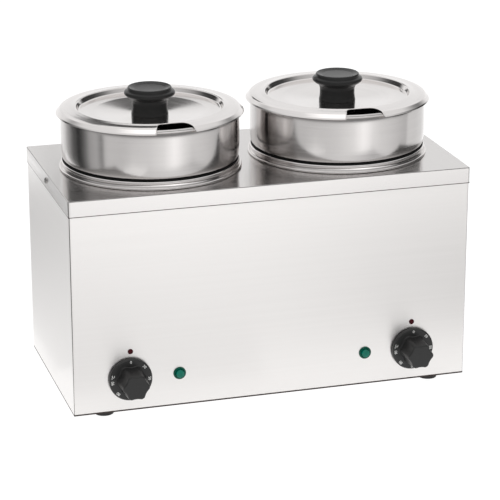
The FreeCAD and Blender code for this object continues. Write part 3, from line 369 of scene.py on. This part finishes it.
def moulded_black(name, shade, roughness, gloss=0.5):
    """Black thermoset with a fine moulded skin."""
    look = Look(name, (shade, shade, shade * 1.02), roughness, Specular_IOR_Level=gloss)
    grain = look.noise((1400, 1400, 1400), detail=2)
    patches = look.noise((25, 25, 25), detail=1)
    look.drive("Roughness", look.spread(patches, roughness - 0.02, roughness + 0.03))
    dark = (shade * 0.85,) * 3
    light = (shade * 1.25,) * 3
    look.drive("Base Color", look.shades(grain, dark, light))
    look.bump(grain, height=0.000012, strength=0.4)
    return look.material


def mottled(name, color, roughness, metallic=0.0, scale=300, variation=0.12, depth=0.00002, **sockets):
    """A plain finish with small-scale variation of colour, gloss and surface."""
    look = Look(name, color, roughness, metallic, **sockets)
    grain = look.noise((scale, scale, scale), detail=4)
    dark = tuple(c * (1 - variation) for c in color)
    light = tuple(min(1, c * (1 + variation)) for c in color)
    look.drive("Base Color", look.shades(grain, dark, light))
    look.drive("Roughness", look.spread(grain, roughness * 0.85, min(1, roughness * 1.15)))
    look.bump(grain, depth)
    return look.material


WALLS = brushed_walls()
DECK_STEEL = brushed_deck()
POLISHED = spun_steel("pot_steel", roughness=0.15, anisotropy=0.75, shade=0.63, waviness=0.00002)
COLLAR_STEEL = spun_steel("collar_steel", roughness=0.10, anisotropy=0.3, shade=0.78, waviness=0.00001)
LID_STEEL = spun_steel("lid_steel", roughness=0.13, anisotropy=0.7, shade=0.82, waviness=0.00001)
KNOB_BLACK = moulded_black("knob_black", shade=0.026, roughness=0.24, gloss=0.16)
DIAL_BLACK = moulded_black("dial_black", shade=0.02, roughness=0.36, gloss=0.4)
# painted shade: the black ring in each collar stands for the dark gap under the pot's shoulder
GAP_SHADE = mottled("painted_gap_shade", (0.006, 0.006, 0.006), roughness=0.6, scale=900, variation=0.3,
               Specular_IOR_Level=0.1)
RUBBER = mottled("rubber", (0.018, 0.017, 0.016), roughness=0.75, scale=900, variation=0.3,
                 depth=0.00004)
GREEN_LENS = mottled("green_lens", (0.0, 0.19, 0.13), roughness=0.12, scale=250, variation=0.15,
                     Specular_IOR_Level=0.25, Transmission_Weight=0.15)
GREEN_RING = mottled("green_ring", (0.0, 0.085, 0.055), roughness=0.2, scale=250, variation=0.15,
                     Specular_IOR_Level=0.25)
RED_DOME = mottled("red_dome", (0.05, 0.001, 0.004), roughness=0.2, scale=500, variation=0.25,
                   Specular_IOR_Level=0.15)
WHITE_PAINT = mottled("white_figures", (0.86, 0.86, 0.84), roughness=0.55, scale=2500, variation=0.08)
GLAND_BLACK = mottled("gland_black", (0.03, 0.03, 0.03), roughness=0.5, scale=700, variation=0.2)
FASTENER = mottled("plated_fastener", (0.42, 0.41, 0.40), roughness=0.22, metallic=1.0, scale=500,
                   variation=0.06)
# painted shadow: the dark strips in the gaps under the cover's skirt and under the shell
SEAM_SHADOW = mottled("seam_shadow", (0.05, 0.035, 0.03), roughness=0.8, scale=900, variation=0.3,
               depth=0.00001)
# painted shade: the dark lines down the folded corners and along the fold round the deck
BEND_SHADE = mottled("painted_bend_shade", (0.10, 0.095, 0.09), roughness=0.5, metallic=0.6, scale=600,
               variation=0.2, depth=0.00001)
CERAMIC = mottled("thermostat_moulding", (0.62, 0.58, 0.50), roughness=0.55, scale=400, variation=0.08)
FIBRE = mottled("mineral_fibre", (0.72, 0.69, 0.58), roughness=0.95, scale=220, variation=0.2,
                depth=0.0006)
HEATER = mottled("heat_tinted_tube", (0.36, 0.31, 0.28), roughness=0.4, metallic=1.0, scale=120,
                 variation=0.25)
SLEEVING = mottled("glass_sleeving", (0.68, 0.66, 0.60), roughness=0.8, scale=1500, variation=0.15,
                   depth=0.0001)

NODE_LOOKS = {
    "steel": WALLS,
    "pot_steel": POLISHED,
    "fastener_steel": FASTENER,
    "black_plastic": KNOB_BLACK,
    "rubber": RUBBER,
    "gland_plastic": GLAND_BLACK,
    "terminal_plastic": CERAMIC,
    "green_lens": GREEN_LENS,
    "red_plastic": RED_DOME,
    "insulation": FIBRE,
    "heater_steel": HEATER,
    "wire": SLEEVING,
}


def dress_cad_nodes():
    """Every CAD node gets the look of its slot, except the cover, which is brushed another way."""
    for entry in frame["record"]["subparts"]:
        node = frame["nodes"][entry["node"]]
        node.data.materials.clear()
        node.data.materials.append(NODE_LOOKS[entry["material_slot"]])
    frame["nodes"]["top_cover"].data.materials[0] = DECK_STEEL


# --- wells, pots and lids --------------------------------------------------------

def well_place(side):
    """Where a well's axis meets the deck."""
    spot = middle("pot_" + side)
    return Vector((spot.x, spot.y, DECK))


def well(side):
    """Water well whose rolled collar stands on the deck."""
    inside = rounded([(0, -150), (113, -150, 14), (113, 6.0)], steps=8)
    bead = arc(115.4, 8.6, 2.2, 200, -25, steps=20)
    neck = rounded([(117.0, 6.6), (117.3, 4.4, 2), (118.0, 3.0)], steps=4)
    lip = arc(118.9, 1.8, 1.6, 120, -60, steps=12)
    under = [(118.4, 0.4), (117.0, 2.0), (116.2, 5.6), (114.4, 6.4)]
    outside = rounded([(114, 5.0), (114, -151, 15), (0, -151)], steps=8)
    piece = turned("well_collar_" + side, inside + bead + neck + lip + under + outside, well_place(side))
    finish_piece(piece, "housing", "steel", COLLAR_STEEL, "well_" + side)


def collar_shade_ring(side):
    """Black ring in the collar under the pot's shoulder: painted shade of the gap between them."""
    outline = rounded([(113.5, 10.0), (116.2, 10.0), (116.2, 12.4, 0.6), (115.1, 13.2, 0.4),
                       (114.0, 12.4, 0.3), (113.5, 11.6)], steps=3)
    piece = turned("collar_shade_ring_" + side, outline, well_place(side))
    finish_piece(piece, "housing", "rubber", GAP_SHADE)


def pot(side):
    """Drawn pot: flat base, straight body, shoulder, bulged flank and rolled rim."""
    flank = smooth([(109, -40), (109, -6), (110.1, 4.4), (112.6, 9.6), (113.3, 12.0), (115.4, 14.2),
                    (116.6, 18), (117.4, 26), (117.7, 36), (117.6, 52), (117.3, 64), (116.7, 70),
                    (115.6, 73.6)])
    base = rounded([(0, -101), (109, -101, 12), (109, -44)], steps=8)
    outside = base + flank
    rim = arc(116, 76, 2.4, -102, 232, steps=28)
    inside = offset(outside, -POT_SHEET)
    piece = turned("pot_shell_" + side, outside + rim + inside[::-1], well_place(side))
    finish_piece(piece, "pot_" + side, "pot_steel", POLISHED, "pot_" + side)


def notch_plan():
    """Plan of the ladle notch: it widens to the open front and has rounded inner corners."""
    half_back, half_front = 19.0, 30.0
    back, front = -98.5, -130.0
    corner = 9
    left = rounded([(-half_front, front), (-half_back, back, corner), (0, back)], steps=10)
    right = [(-x, y) for x, y in left[::-1]]
    return left + right[1:]


def lid_top():
    """Shallow cone, step up, wide brim and curled edge."""
    cone = [(2.8, LID_MIDDLE), (26, LID_MIDDLE, 10), (73, 74.3, 25), (93.6, 75.2, 2.2)]
    brim = [(97, 82.3, 2.2), (104, 81.3, 20), (112, 80.9, 20), (117.4, 80.1, 5)]
    curl = [(122.3, 75.7, 2.5), (123.4, 74.2)]
    return rounded(cone + brim + curl)


def height_at(outline, radius):
    """Height of an outline at the first place where it passes the radius."""
    for (r0, z0), (r1, z1) in zip(outline, outline[1:]):
        if r0 <= radius < r1:
            return z0 + (z1 - z0) * (radius - r0) / (r1 - r0)
    return None


def walk(points, spacing):
    """The same line with a point about every spacing."""
    line = []
    for start, end in zip(points, points[1:]):
        start, end = Vector(start), Vector(end)
        count = max(1, round((end - start).length / spacing))
        line += [start.lerp(end, k / count) for k in range(count)]
    return line + [Vector(points[-1])]


def tube(name, path, radius, place, tilt=None, closed=False, around=12):
    """A round bead along a path of points in millimetres."""
    vertices, faces = [], []
    count = len(path)
    for i, point in enumerate(path):
        if closed:
            along = (path[(i + 1) % count] - path[i - 1]).normalized()
        else:
            along = (path[min(i + 1, count - 1)] - path[max(i - 1, 0)]).normalized()
        upright = abs(along.z) > 0.95
        side = along.cross(Vector((0, 1, 0) if upright else (0, 0, 1))).normalized()
        up = side.cross(along)
        for k in range(around):
            a = 2 * math.pi * k / around
            vertices.append((point + (side * math.cos(a) + up * math.sin(a)) * radius) * MM)
    for i in range(count if closed else count - 1):
        j = (i + 1) % count
        for k in range(around):
            n = (k + 1) % around
            faces.append([i * around + k, i * around + n, j * around + n, j * around + k])
    if not closed:
        faces.append(list(range(around)))
        faces.append(list(range((count - 1) * around, count * around)))
    piece = add_mesh(name, vertices, faces)
    outward(piece)
    soften(piece, 50)
    put(piece, place, tilt)
    return piece


def lid(side):
    """Lid with its ladle notch, and the hem that is folded round the notch."""
    top = lid_top()
    under = offset(top, LID_SHEET)
    turn = Matrix.Rotation(math.radians(NOTCH_TURN[side]), 3, "Z")
    piece = turned("lid_shell_" + side, top + under[::-1], (0, 0, 0), segments=256)
    cut(piece, prism("notch_cutter", notch_plan(), LID_MIDDLE - 10, LID_MIDDLE + 30))
    soften(piece, 40)
    put(piece, well_place(side), turn)
    finish_piece(piece, "lid_" + side, "pot_steel", LID_STEEL, "lid_" + side)

    hem_radius, hem_sink, spacing = 0.75, 0.35, 0.8
    edge = []
    for x, y in walk(notch_plan(), spacing):
        height = height_at(top, math.hypot(x, y))
        if height is not None:
            edge.append(Vector((x, y, height - hem_sink)))
    hem = tube("notch_hem_" + side, edge, hem_radius, well_place(side), turn)
    finish_piece(hem, "lid_" + side, "pot_steel", LID_STEEL)


def lid_knob(side):
    """Turned knob: waisted stem, flared neck, rolled cap, groove, raised lip and dished top."""
    stem = rounded([(0, 0), (24.5, 0, 0.4), (23.7, 4, 6), (23.2, 9, 8), (23.3, 16, 6),
                    (25.2, 21.0, 5), (30.4, 24.2, 3)], steps=5)
    cap = arc(30.6, 28.4, 3.0, -72, 78, steps=14)
    lip = rounded([(30.2, 31.9), (29.2, 32.2, 0.3), (29.2, 34.8, 1.2), (27.8, 36.5, 1.1),
                   (25.8, 36.0, 2), (20, 34.6, 10), (0, 34.0)], steps=5)
    place = well_place(side) + Vector((0, 0, LID_MIDDLE * MM))
    piece = turned("knob_" + side, stem + cap + lip, place, closed=False, segments=128)
    finish_piece(piece, "lid_" + side, "black_plastic", KNOB_BLACK, "lid_knob_" + side)


# --- housing -----------------------------------------------------------------------

def band(name, edge, below, above, inset, outset):
    """Dark strip round the housing along an edge at that height, painted shadow of the gap there; its
    reach is in millimetres.
    """
    housing_low, housing_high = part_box("housing_shell")
    low, high = edge - below * MM, edge + above * MM
    rings = []
    for z, reach in ((low, -inset), (low, outset), (high, outset), (high, -inset)):
        x = housing_high.x + reach * MM
        front, rear = housing_low.y - reach * MM, housing_high.y + reach * MM
        rings.append([(-x, front, z), (x, front, z), (x, rear, z), (-x, rear, z)])
    vertices = [corner for ring in rings for corner in ring]
    faces = []
    for level in range(4):
        for k in range(4):
            n = (k + 1) % 4
            a, b = 4 * level, 4 * ((level + 1) % 4)
            faces.append([a + k, a + n, b + n, b + k])
    piece = add_mesh(name, vertices, faces)
    outward(piece)
    finish_piece(piece, "housing", "rubber", SEAM_SHADOW)


def bend_line(name, x, y, radius, low, high):
    """Dark line down a folded corner of the sheet, whose faces meet at (x, y): painted shade of the bend.
    """
    line_radius, sink = 0.5, 0.35
    reach = radius - (radius - sink * MM) * math.sqrt(0.5)
    spot_x = math.copysign(abs(x) - reach, x) / MM
    spot_y = math.copysign(abs(y) - reach, y) / MM
    path = [Vector((spot_x, spot_y, low / MM)), Vector((spot_x, spot_y, high / MM))]
    piece = tube(name, path, line_radius, (0, 0, 0))
    finish_piece(piece, "housing", "steel", BEND_SHADE)


def bend_lines(name, node, radius, low, high):
    """The lines down a node's four folded corners, which have that radius."""
    box_low, box_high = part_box(node)
    for front, y in (("front", box_low.y), ("rear", box_high.y)):
        for side, x in (("left", box_low.x), ("right", box_high.x)):
            bend_line("%s_bend_%s_%s" % (name, front, side), x, y, radius * MM, low, high)


def housing_lines():
    """Painted shadow in the gaps under the cover's skirt and the shell; painted shade on the sheets'
    folds.
    """
    cover_low, cover_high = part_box("top_cover")
    shell_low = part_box("housing_shell")[0]
    band("cover_seam_shadow", cover_low.z, below=1.1, above=0.3, inset=1.0, outset=0.6)
    band("base_seam_shadow", shell_low.z, below=2.2, above=0.2, inset=2.6, outset=-0.3)
    deck_fold = 1.2         # height of the fold between the skirt and the deck
    bend_lines("skirt", "top_cover", 3.0, cover_low.z, cover_high.z - deck_fold * MM)
    bend_lines("shell", "housing_shell", 2.0, shell_low.z, cover_low.z)

    # The deck's fold gets a dark line of painted shade too.
    # The fold round the deck: how far in from the cover's faces, its corners and its thickness.
    reach, corner, line_radius = 0.55, 2.4, 0.36
    x = cover_high.x / MM - reach
    front, rear = cover_low.y / MM + reach, cover_high.y / MM - reach
    path = []
    for centre_x, centre_y, start in ((x, rear, 0), (-x, rear, 90), (-x, front, 180), (x, front, 270)):
        centre_x -= math.copysign(corner, centre_x)
        centre_y -= math.copysign(corner, centre_y)
        path += [Vector((*point, cover_high.z / MM - reach))
                 for point in arc(centre_x, centre_y, corner, start, start + 90, steps=6)]
    piece = tube("deck_bend", path, line_radius, (0, 0, 0), closed=True)
    finish_piece(piece, "housing", "steel", BEND_SHADE)


# --- front panel -------------------------------------------------------------------

OUT_OF_PANEL = Matrix.Rotation(math.radians(90), 3, "X")       # local +Z points to the front
FLUTES = 6
FIGURES = [     # text on a dial's skirt, and its place in degrees from 12 o'clock
    ("0", 0), ("30", 47), ("50", 90), ("60", 135), ("70", 180), ("80", 225), ("90", 265), ("°C", 284)]


def grip_radius(angle, depth):
    """Radius of the grip at an angle from 12 o'clock and a depth from 0 at the skirt to 1 at its end.

    It is the smaller of a plain cone and the round flutes cut into it, with a soft edge between.
    """
    plain = 19.6 - 2.1 * depth
    bottom = 16.9 - 1.8 * depth
    flute = 20.0
    sharpness = 2.2
    centre = bottom + flute
    pitch = 2 * math.pi / FLUTES
    nearest = (angle + pitch / 2) % pitch - pitch / 2
    cut_radius = centre * math.cos(nearest) - math.sqrt(flute ** 2 - (centre * math.sin(nearest)) ** 2)
    return -math.log(math.exp(-plain * sharpness) + math.exp(-cut_radius * sharpness)) / sharpness


def dial(side):
    """Dial: a skirt with a bevelled rim and printed figures, and a tapered grip with flutes."""
    spot = middle("dial_" + side)
    place = Vector((spot.x, DIAL_BACK, spot.z))
    skirt = rounded([(0, 0), (28.2, 0, 0.4), (28.6, 0.8, 0.4), (28.6, 4.0, 1.2),
                     (27.2, SKIRT_FACE, 0.8), (0, SKIRT_FACE)], steps=4)
    plate = turned("dial_skirt_" + side, skirt, place, closed=False, tilt=OUT_OF_PANEL)
    finish_piece(plate, "dial_" + side, "black_plastic", DIAL_BLACK, "dial_" + side)

    segments = 240
    length = (DIAL_BACK - DIAL_FRONT) / MM
    foot = [(5.3, 0.0, 1.6), (5.7, 0.0, 0.9), (6.4, 0.02, 0.35), (7.6, 0.05, 0.0)]
    flank = [(SKIRT_FACE + (length - SKIRT_FACE) * t, t, 0.0) for t in (0.2, 0.4, 0.6, 0.8, 0.92)]
    end = [(length - 1.3, 0.96, -0.1), (length - 0.5, 0.99, -0.6), (length, 1.0, -1.8)]
    levels = foot + flank + end         # height, depth and how far it stands out or in there
    vertices, faces = [], []
    for height, depth, grow in levels:
        for k in range(segments):
            a = 2 * math.pi * k / segments
            radius = (grip_radius(a, depth) + grow) * MM
            vertices.append((radius * math.sin(a), radius * math.cos(a), height * MM))
    for level in range(len(levels) - 1):
        for k in range(segments):
            n = (k + 1) % segments
            low, high = level * segments, (level + 1) * segments
            faces.append([low + k, low + n, high + n, high + k])
    faces.append(list(range((len(levels) - 1) * segments, len(levels) * segments)))
    grip = add_mesh("dial_grip_" + side, vertices, faces)
    outward(grip)
    soften(grip, 50)
    put(grip, place, OUT_OF_PANEL)
    finish_piece(grip, "dial_" + side, "black_plastic", DIAL_BLACK)

    for number, (text, clock) in enumerate(FIGURES, start=1):
        figure(side, number, text, clock, place)


def figure(side, number, text, clock, place):
    """A printed figure on the dial's skirt, with its foot towards the dial's middle."""
    size, weight, thickness = 5.2, 0.04, 0.03
    from_middle, above_skirt = 24.4, 0.02
    curve = bpy.data.curves.new("figure", "FONT")
    curve.body = text
    curve.size = size * MM
    curve.align_x = "CENTER"
    curve.align_y = "CENTER"
    curve.extrude = thickness * MM
    curve.offset = weight * MM
    maker = bpy.data.objects.new("figure", curve)
    scene.collection.objects.link(maker)
    graph = bpy.context.evaluated_depsgraph_get()
    mesh = bpy.data.meshes.new_from_object(maker.evaluated_get(graph))
    bpy.data.objects.remove(maker)
    piece = bpy.data.objects.new("dial_figure_%s_%d" % (side, number), mesh)
    scene.collection.objects.link(piece)
    spin = Matrix.Rotation(math.radians(-clock), 4, "Z")
    lift = Matrix.Translation((0, from_middle * MM, (SKIRT_FACE + above_skirt) * MM))
    piece.data.transform(spin @ lift)
    put(piece, place, OUT_OF_PANEL)
    finish_piece(piece, "dial_" + side, "black_plastic", WHITE_PAINT)


def lamp(side):
    """Green lens: a darker ring flange round a raised, stepped middle."""
    spot = middle("lamp_lens_" + side)
    place = Vector((spot.x, PANEL, spot.z))
    flange = rounded([(0, 0), (8.4, 0, 0.2), (8.4, 1.2, 0.8), (7.2, 2.0, 0.5), (5.9, 1.7, 0.3),
                      (5.5, 1.2)], steps=4)
    ring = turned("lamp_flange_" + side, flange + [(0, 1.2)], place,
                  closed=False, segments=96, tilt=OUT_OF_PANEL)
    finish_piece(ring, "housing", "green_lens", GREEN_RING)
    dome = rounded([(5.4, 1.1), (5.4, 4.1, 0.9), (4.4, 5.0, 0.5), (3.3, 4.7, 0.4), (2.9, 5.0, 0.3),
                    (1.7, 4.8, 0.3), (1.4, 5.1, 0.3), (0, 5.1)], steps=4)
    cap = turned("lamp_lens_cap_" + side, [(0, 1.1)] + dome, place,
                 closed=False, segments=96, tilt=OUT_OF_PANEL)
    finish_piece(cap, "housing", "green_lens", GREEN_LENS, "lamp_lens_" + side)


def index_marker(side):
    """Low red dome above the dial, to which its figures point."""
    spot = middle("index_marker_" + side)
    outline = rounded([(0, 0), (3.6, 0, 0.1), (3.6, 0.6, 0.4), (2.5, 1.1, 0.6), (0, 1.3)], steps=4)
    place = Vector((spot.x, PANEL, spot.z))
    piece = turned("index_dome_" + side, outline, place, closed=False, segments=64, tilt=OUT_OF_PANEL)
    finish_piece(piece, "housing", "red_plastic", RED_DOME, "index_marker_" + side)


# --- studio ------------------------------------------------------------------------

def floor_look():
    """A light table: lit from below, so that the kettle hardly casts a shadow."""
    look = Look("studio_floor", (0.24, 0.24, 0.24), roughness=0.9)
    look.shader.inputs["Emission Color"].default_value = (1, 1, 1, 1)
    look.shader.inputs["Emission Strength"].default_value = 0.92
    look.shader.inputs["Specular IOR Level"].default_value = 0
    speckle = look.noise((3, 3, 3), detail=3)
    look.drive("Base Color", look.shades(speckle, (0.235, 0.235, 0.235), (0.245, 0.245, 0.245)))
    return look.material


def floor():
    """The table and the floor round it. The steel mirrors the table, and past its edge only the studio."""
    table = [(-0.78, -0.92), (0.62, -0.92), (0.62, 0.95), (-0.78, 0.95)]
    far = [(-30, -30), (30, -30), (30, 30), (-30, 30)]
    corners = [(x, y, 0) for x, y in table + far]
    surround = [[k, k + 4, (k + 1) % 4 + 4, (k + 1) % 4] for k in range(4)]
    inner = add_mesh("studio_table", corners[:4], [[0, 1, 2, 3]])
    outer = add_mesh("studio_floor", corners, surround)
    outer.visible_glossy = False
    material = floor_look()
    for ground in (inner, outer):
        ground.data.materials.append(material)


def reflector(name, corners, near, far=None):
    """A card that shows only in reflections; its brightness goes from near to far along its first side."""
    card = add_mesh(name, corners, [[0, 1, 2, 3]])
    material = bpy.data.materials.new(name)
    material.use_nodes = True
    tree = material.node_tree
    tree.nodes.clear()
    emission = tree.nodes.new("ShaderNodeEmission")
    output = tree.nodes.new("ShaderNodeOutputMaterial")
    tree.links.new(emission.outputs["Emission"], output.inputs["Surface"])
    emission.inputs["Strength"].default_value = near
    if far is not None:
        along = Vector(corners[1]) - Vector(corners[0])
        place = tree.nodes.new("ShaderNodeNewGeometry").outputs["Position"]
        from_first = tree.nodes.new("ShaderNodeVectorMath")
        from_first.operation = "SUBTRACT"
        from_first.inputs[1].default_value = corners[0]
        dot = tree.nodes.new("ShaderNodeVectorMath")
        dot.operation = "DOT_PRODUCT"
        dot.inputs[1].default_value = along / along.length_squared
        spread = tree.nodes.new("ShaderNodeMapRange")
        spread.interpolation_type = "SMOOTHSTEP"
        spread.inputs["To Min"].default_value = near
        spread.inputs["To Max"].default_value = far
        tree.links.new(place, from_first.inputs[0])
        tree.links.new(from_first.outputs["Vector"], dot.inputs[0])
        tree.links.new(dot.outputs["Value"], spread.inputs["Value"])
        tree.links.new(spread.outputs["Result"], emission.inputs["Strength"])
    card.data.materials.append(material)
    card.visible_camera = False
    card.visible_shadow = False
    card.visible_diffuse = False
    card.visible_transmission = False


def standing(name, start, end, low, high, near, far=None):
    """An upright card over the line between two places, from one height to another."""
    corners = [(*start, low), (*end, low), (*end, high), (*start, high)]
    reflector(name, corners, near, far)


def lying(name, start, end, width, near, far=None):
    """A level card just above the table, to the left of the line from start to end."""
    start, end = Vector(start), Vector(end)
    along = (end - start).normalized()
    across = Vector((-along.y, along.x)) * width
    above_table = 0.002
    corners = [(*spot, above_table) for spot in (start, end, end + across, start + across)]
    reflector(name, corners, near, far)


def cards():
    """Grey and white cards on the table, and a dark one high behind the kettle, for the steel's bands."""
    standing("card_behind", (-0.11, 0.80), (0.13, 0.80), low=0.66, high=0.86, near=0.0, far=0.08)
    lying("card_front_left", (-0.40, -0.92), (0.02, -0.92), width=0.70, near=0.86, far=0.95)
    lying("card_front_right", (0.02, -0.92), (0.62, -0.92), width=0.62, near=0.95, far=0.60)
    lying("card_rear_left", (-0.29, 0.05), (-0.29, 0.95), width=0.30, near=0.90, far=0.56)
    lying("card_corner", (-0.43, -0.50), (-0.43, 0.0), width=0.35, near=0.25)
    lying("card_left", (-0.50, 0.0), (-0.50, 0.32), width=0.28, near=0.25)


def softbox(name, place, target, width, height, power):
    """A broad light that the steel doesn't mirror."""
    light = bpy.data.lights.new(name, "AREA")
    light.shape = "RECTANGLE"
    light.size = width
    light.size_y = height
    light.energy = power
    holder = bpy.data.objects.new(name, light)
    holder.location = place
    holder.rotation_euler = (Vector(target) - Vector(place)).to_track_quat("-Z", "Y").to_euler()
    holder.visible_glossy = False
    scene.collection.objects.link(holder)


STUDIO_STRENGTH = 1.5       # the most that the brightness tables hold, because a ramp ends at 1
BEYOND_TABLE = [    # heading in degrees, 0 to the front and 90 to the right, and brightness
    (-180, 1.1), (-157, 0.95), (-147, 0.55), (-138, 0.33), (-131, 0.14), (-124, 0.10), (-118, 0.03),
    (-112, 0.09), (-107, 0.17), (-102, 0.30), (-97, 0.47), (-87, 0.56), (-82, 0.42), (-78, 0.30),
    (-74, 0.70), (-69, 0.79), (-47, 0.78), (-17, 0.94), (2, 1.12), (10, 1.34), (16, 1.50), (22, 1.40),
    (30, 1.16), (40, 1.0), (60, 0.86), (78, 0.72), (84, 0.68), (88, 0.92), (106, 0.88), (129, 0.95),
    (146, 1.2), (180, 1.1)]

# The studio above the horizon: sine of the elevation, and brightness.
BEHIND = [(0.0, 1.0), (0.2, 0.95), (0.32, 0.86), (0.45, 0.92), (0.62, 0.95), (0.92, 0.86), (1.0, 1.5)]
IN_FRONT = [(0.0, 0.55), (0.12, 0.3), (0.42, 0.25), (0.56, 0.6), (0.7, 0.8), (0.92, 0.86), (1.0, 1.5)]
AT_SIDES = [(0.0, 0.04), (0.35, 0.05), (0.52, 0.3), (0.68, 0.8), (0.92, 0.86), (1.0, 1.5)]


def sky():
    """The studio round the table, by heading below the horizon and in three zones above it."""
    world = bpy.data.worlds.new("studio")
    scene.world = world
    world.use_nodes = True
    tree = world.node_tree
    background = tree.nodes["Background"]
    background.inputs["Strength"].default_value = STUDIO_STRENGTH
    direction = tree.nodes.new("ShaderNodeTexCoord").outputs["Generated"]
    split = tree.nodes.new("ShaderNodeSeparateXYZ")
    tree.links.new(direction, split.inputs["Vector"])

    def ramp(source, stops):
        """Brightness by the stops, each divided by the background's strength."""
        node = tree.nodes.new("ShaderNodeValToRGB")
        elements = node.color_ramp.elements
        while len(elements) < len(stops):
            elements.new(0.5)
        for element, (place, shade) in zip(elements, stops):
            element.position = place
            element.color = (*[shade / STUDIO_STRENGTH] * 3, 1)
        tree.links.new(source, node.inputs["Fac"])
        return node.outputs["Color"]

    def step(source, low, high):
        """0 below low and 1 above high, with a soft step between."""
        node = tree.nodes.new("ShaderNodeMapRange")
        node.interpolation_type = "SMOOTHSTEP"
        node.inputs["From Min"].default_value = low
        node.inputs["From Max"].default_value = high
        tree.links.new(source, node.inputs["Value"])
        return node.outputs["Result"]

    def mix(fraction, first, second):
        """One colour or the other, by the fraction. The numbers are the sockets of the colour mode."""
        node = tree.nodes.new("ShaderNodeMix")
        node.data_type = "RGBA"
        tree.links.new(fraction, node.inputs[0])
        tree.links.new(first, node.inputs[6])
        tree.links.new(second, node.inputs[7])
        return node.outputs[2]

    def calculate(kind, operation, *sources):
        """A maths node fed by sockets and numbers."""
        node = tree.nodes.new(kind)
        node.operation = operation
        for socket, source in zip(node.inputs, sources):
            if hasattr(source, "node"):
                tree.links.new(source, socket)
            else:
                socket.default_value = source
        return node.outputs[1 if operation == "DOT_PRODUCT" else 0]

    height = split.outputs["Z"]
    level = calculate("ShaderNodeVectorMath", "MULTIPLY", direction, (1, 1, 0))
    heading = calculate("ShaderNodeVectorMath", "NORMALIZE", level)

    def towards(degrees, outer, inner):
        """1 within the inner angle of a heading, 0 outside the outer angle."""
        turn = math.radians(degrees)
        centre = (math.sin(turn), -math.cos(turn), 0)
        facing = calculate("ShaderNodeVectorMath", "DOT_PRODUCT", heading, centre)
        return step(facing, math.cos(math.radians(outer)), math.cos(math.radians(inner)))

    above = mix(towards(-20, outer=95, inner=70), ramp(height, AT_SIDES), ramp(height, IN_FRONT))
    above = mix(towards(168, outer=50, inner=33), above, ramp(height, BEHIND))

    to_front = calculate("ShaderNodeMath", "MULTIPLY", split.outputs["Y"], -1)
    angle = calculate("ShaderNodeMath", "ARCTAN2", split.outputs["X"], to_front)
    turn = calculate("ShaderNodeMath", "MULTIPLY_ADD", angle, 0.5 / math.pi, 0.5)       # 0 to 1
    beyond = ramp(turn, [((degrees + 180) / 360, shade) for degrees, shade in BEYOND_TABLE])
    over_horizon = step(height, -0.06, 0.02)
    tree.links.new(mix(over_horizon, beyond, above), background.inputs["Color"])


def camera():
    """Long lens from the front left, a little above the kettle."""
    target = Vector((0.0075, 0, 0.1646))
    azimuth, elevation, distance = math.radians(-16.65), math.radians(18.585), 2.994
    back = Vector((math.sin(azimuth) * math.cos(elevation), -math.cos(azimuth) * math.cos(elevation),
                   math.sin(elevation)))
    data = bpy.data.cameras.new("camera")
    data.lens = 158.9
    data.sensor_width = 36
    data.clip_end = 100
    viewer = bpy.data.objects.new("camera", data)
    viewer.location = target + back * distance
    viewer.rotation_euler = (-back).to_track_quat("-Z", "Y").to_euler()
    scene.collection.objects.link(viewer)
    scene.camera = viewer


# --- build ---------------------------------------------------------------------------

scene.view_settings.view_transform = "Standard"
camera()
sky()
floor()
cards()
softbox("key_front", place=(-1.2, -3.0, 2.6), target=(0, 0, 0.2), width=2.4, height=1.6, power=25)
dress_cad_nodes()
housing_lines()
for side in SIDES:
    well(side)
    collar_shade_ring(side)
    pot(side)
    lid(side)
    lid_knob(side)
    dial(side)
    lamp(side)
    index_marker(side)
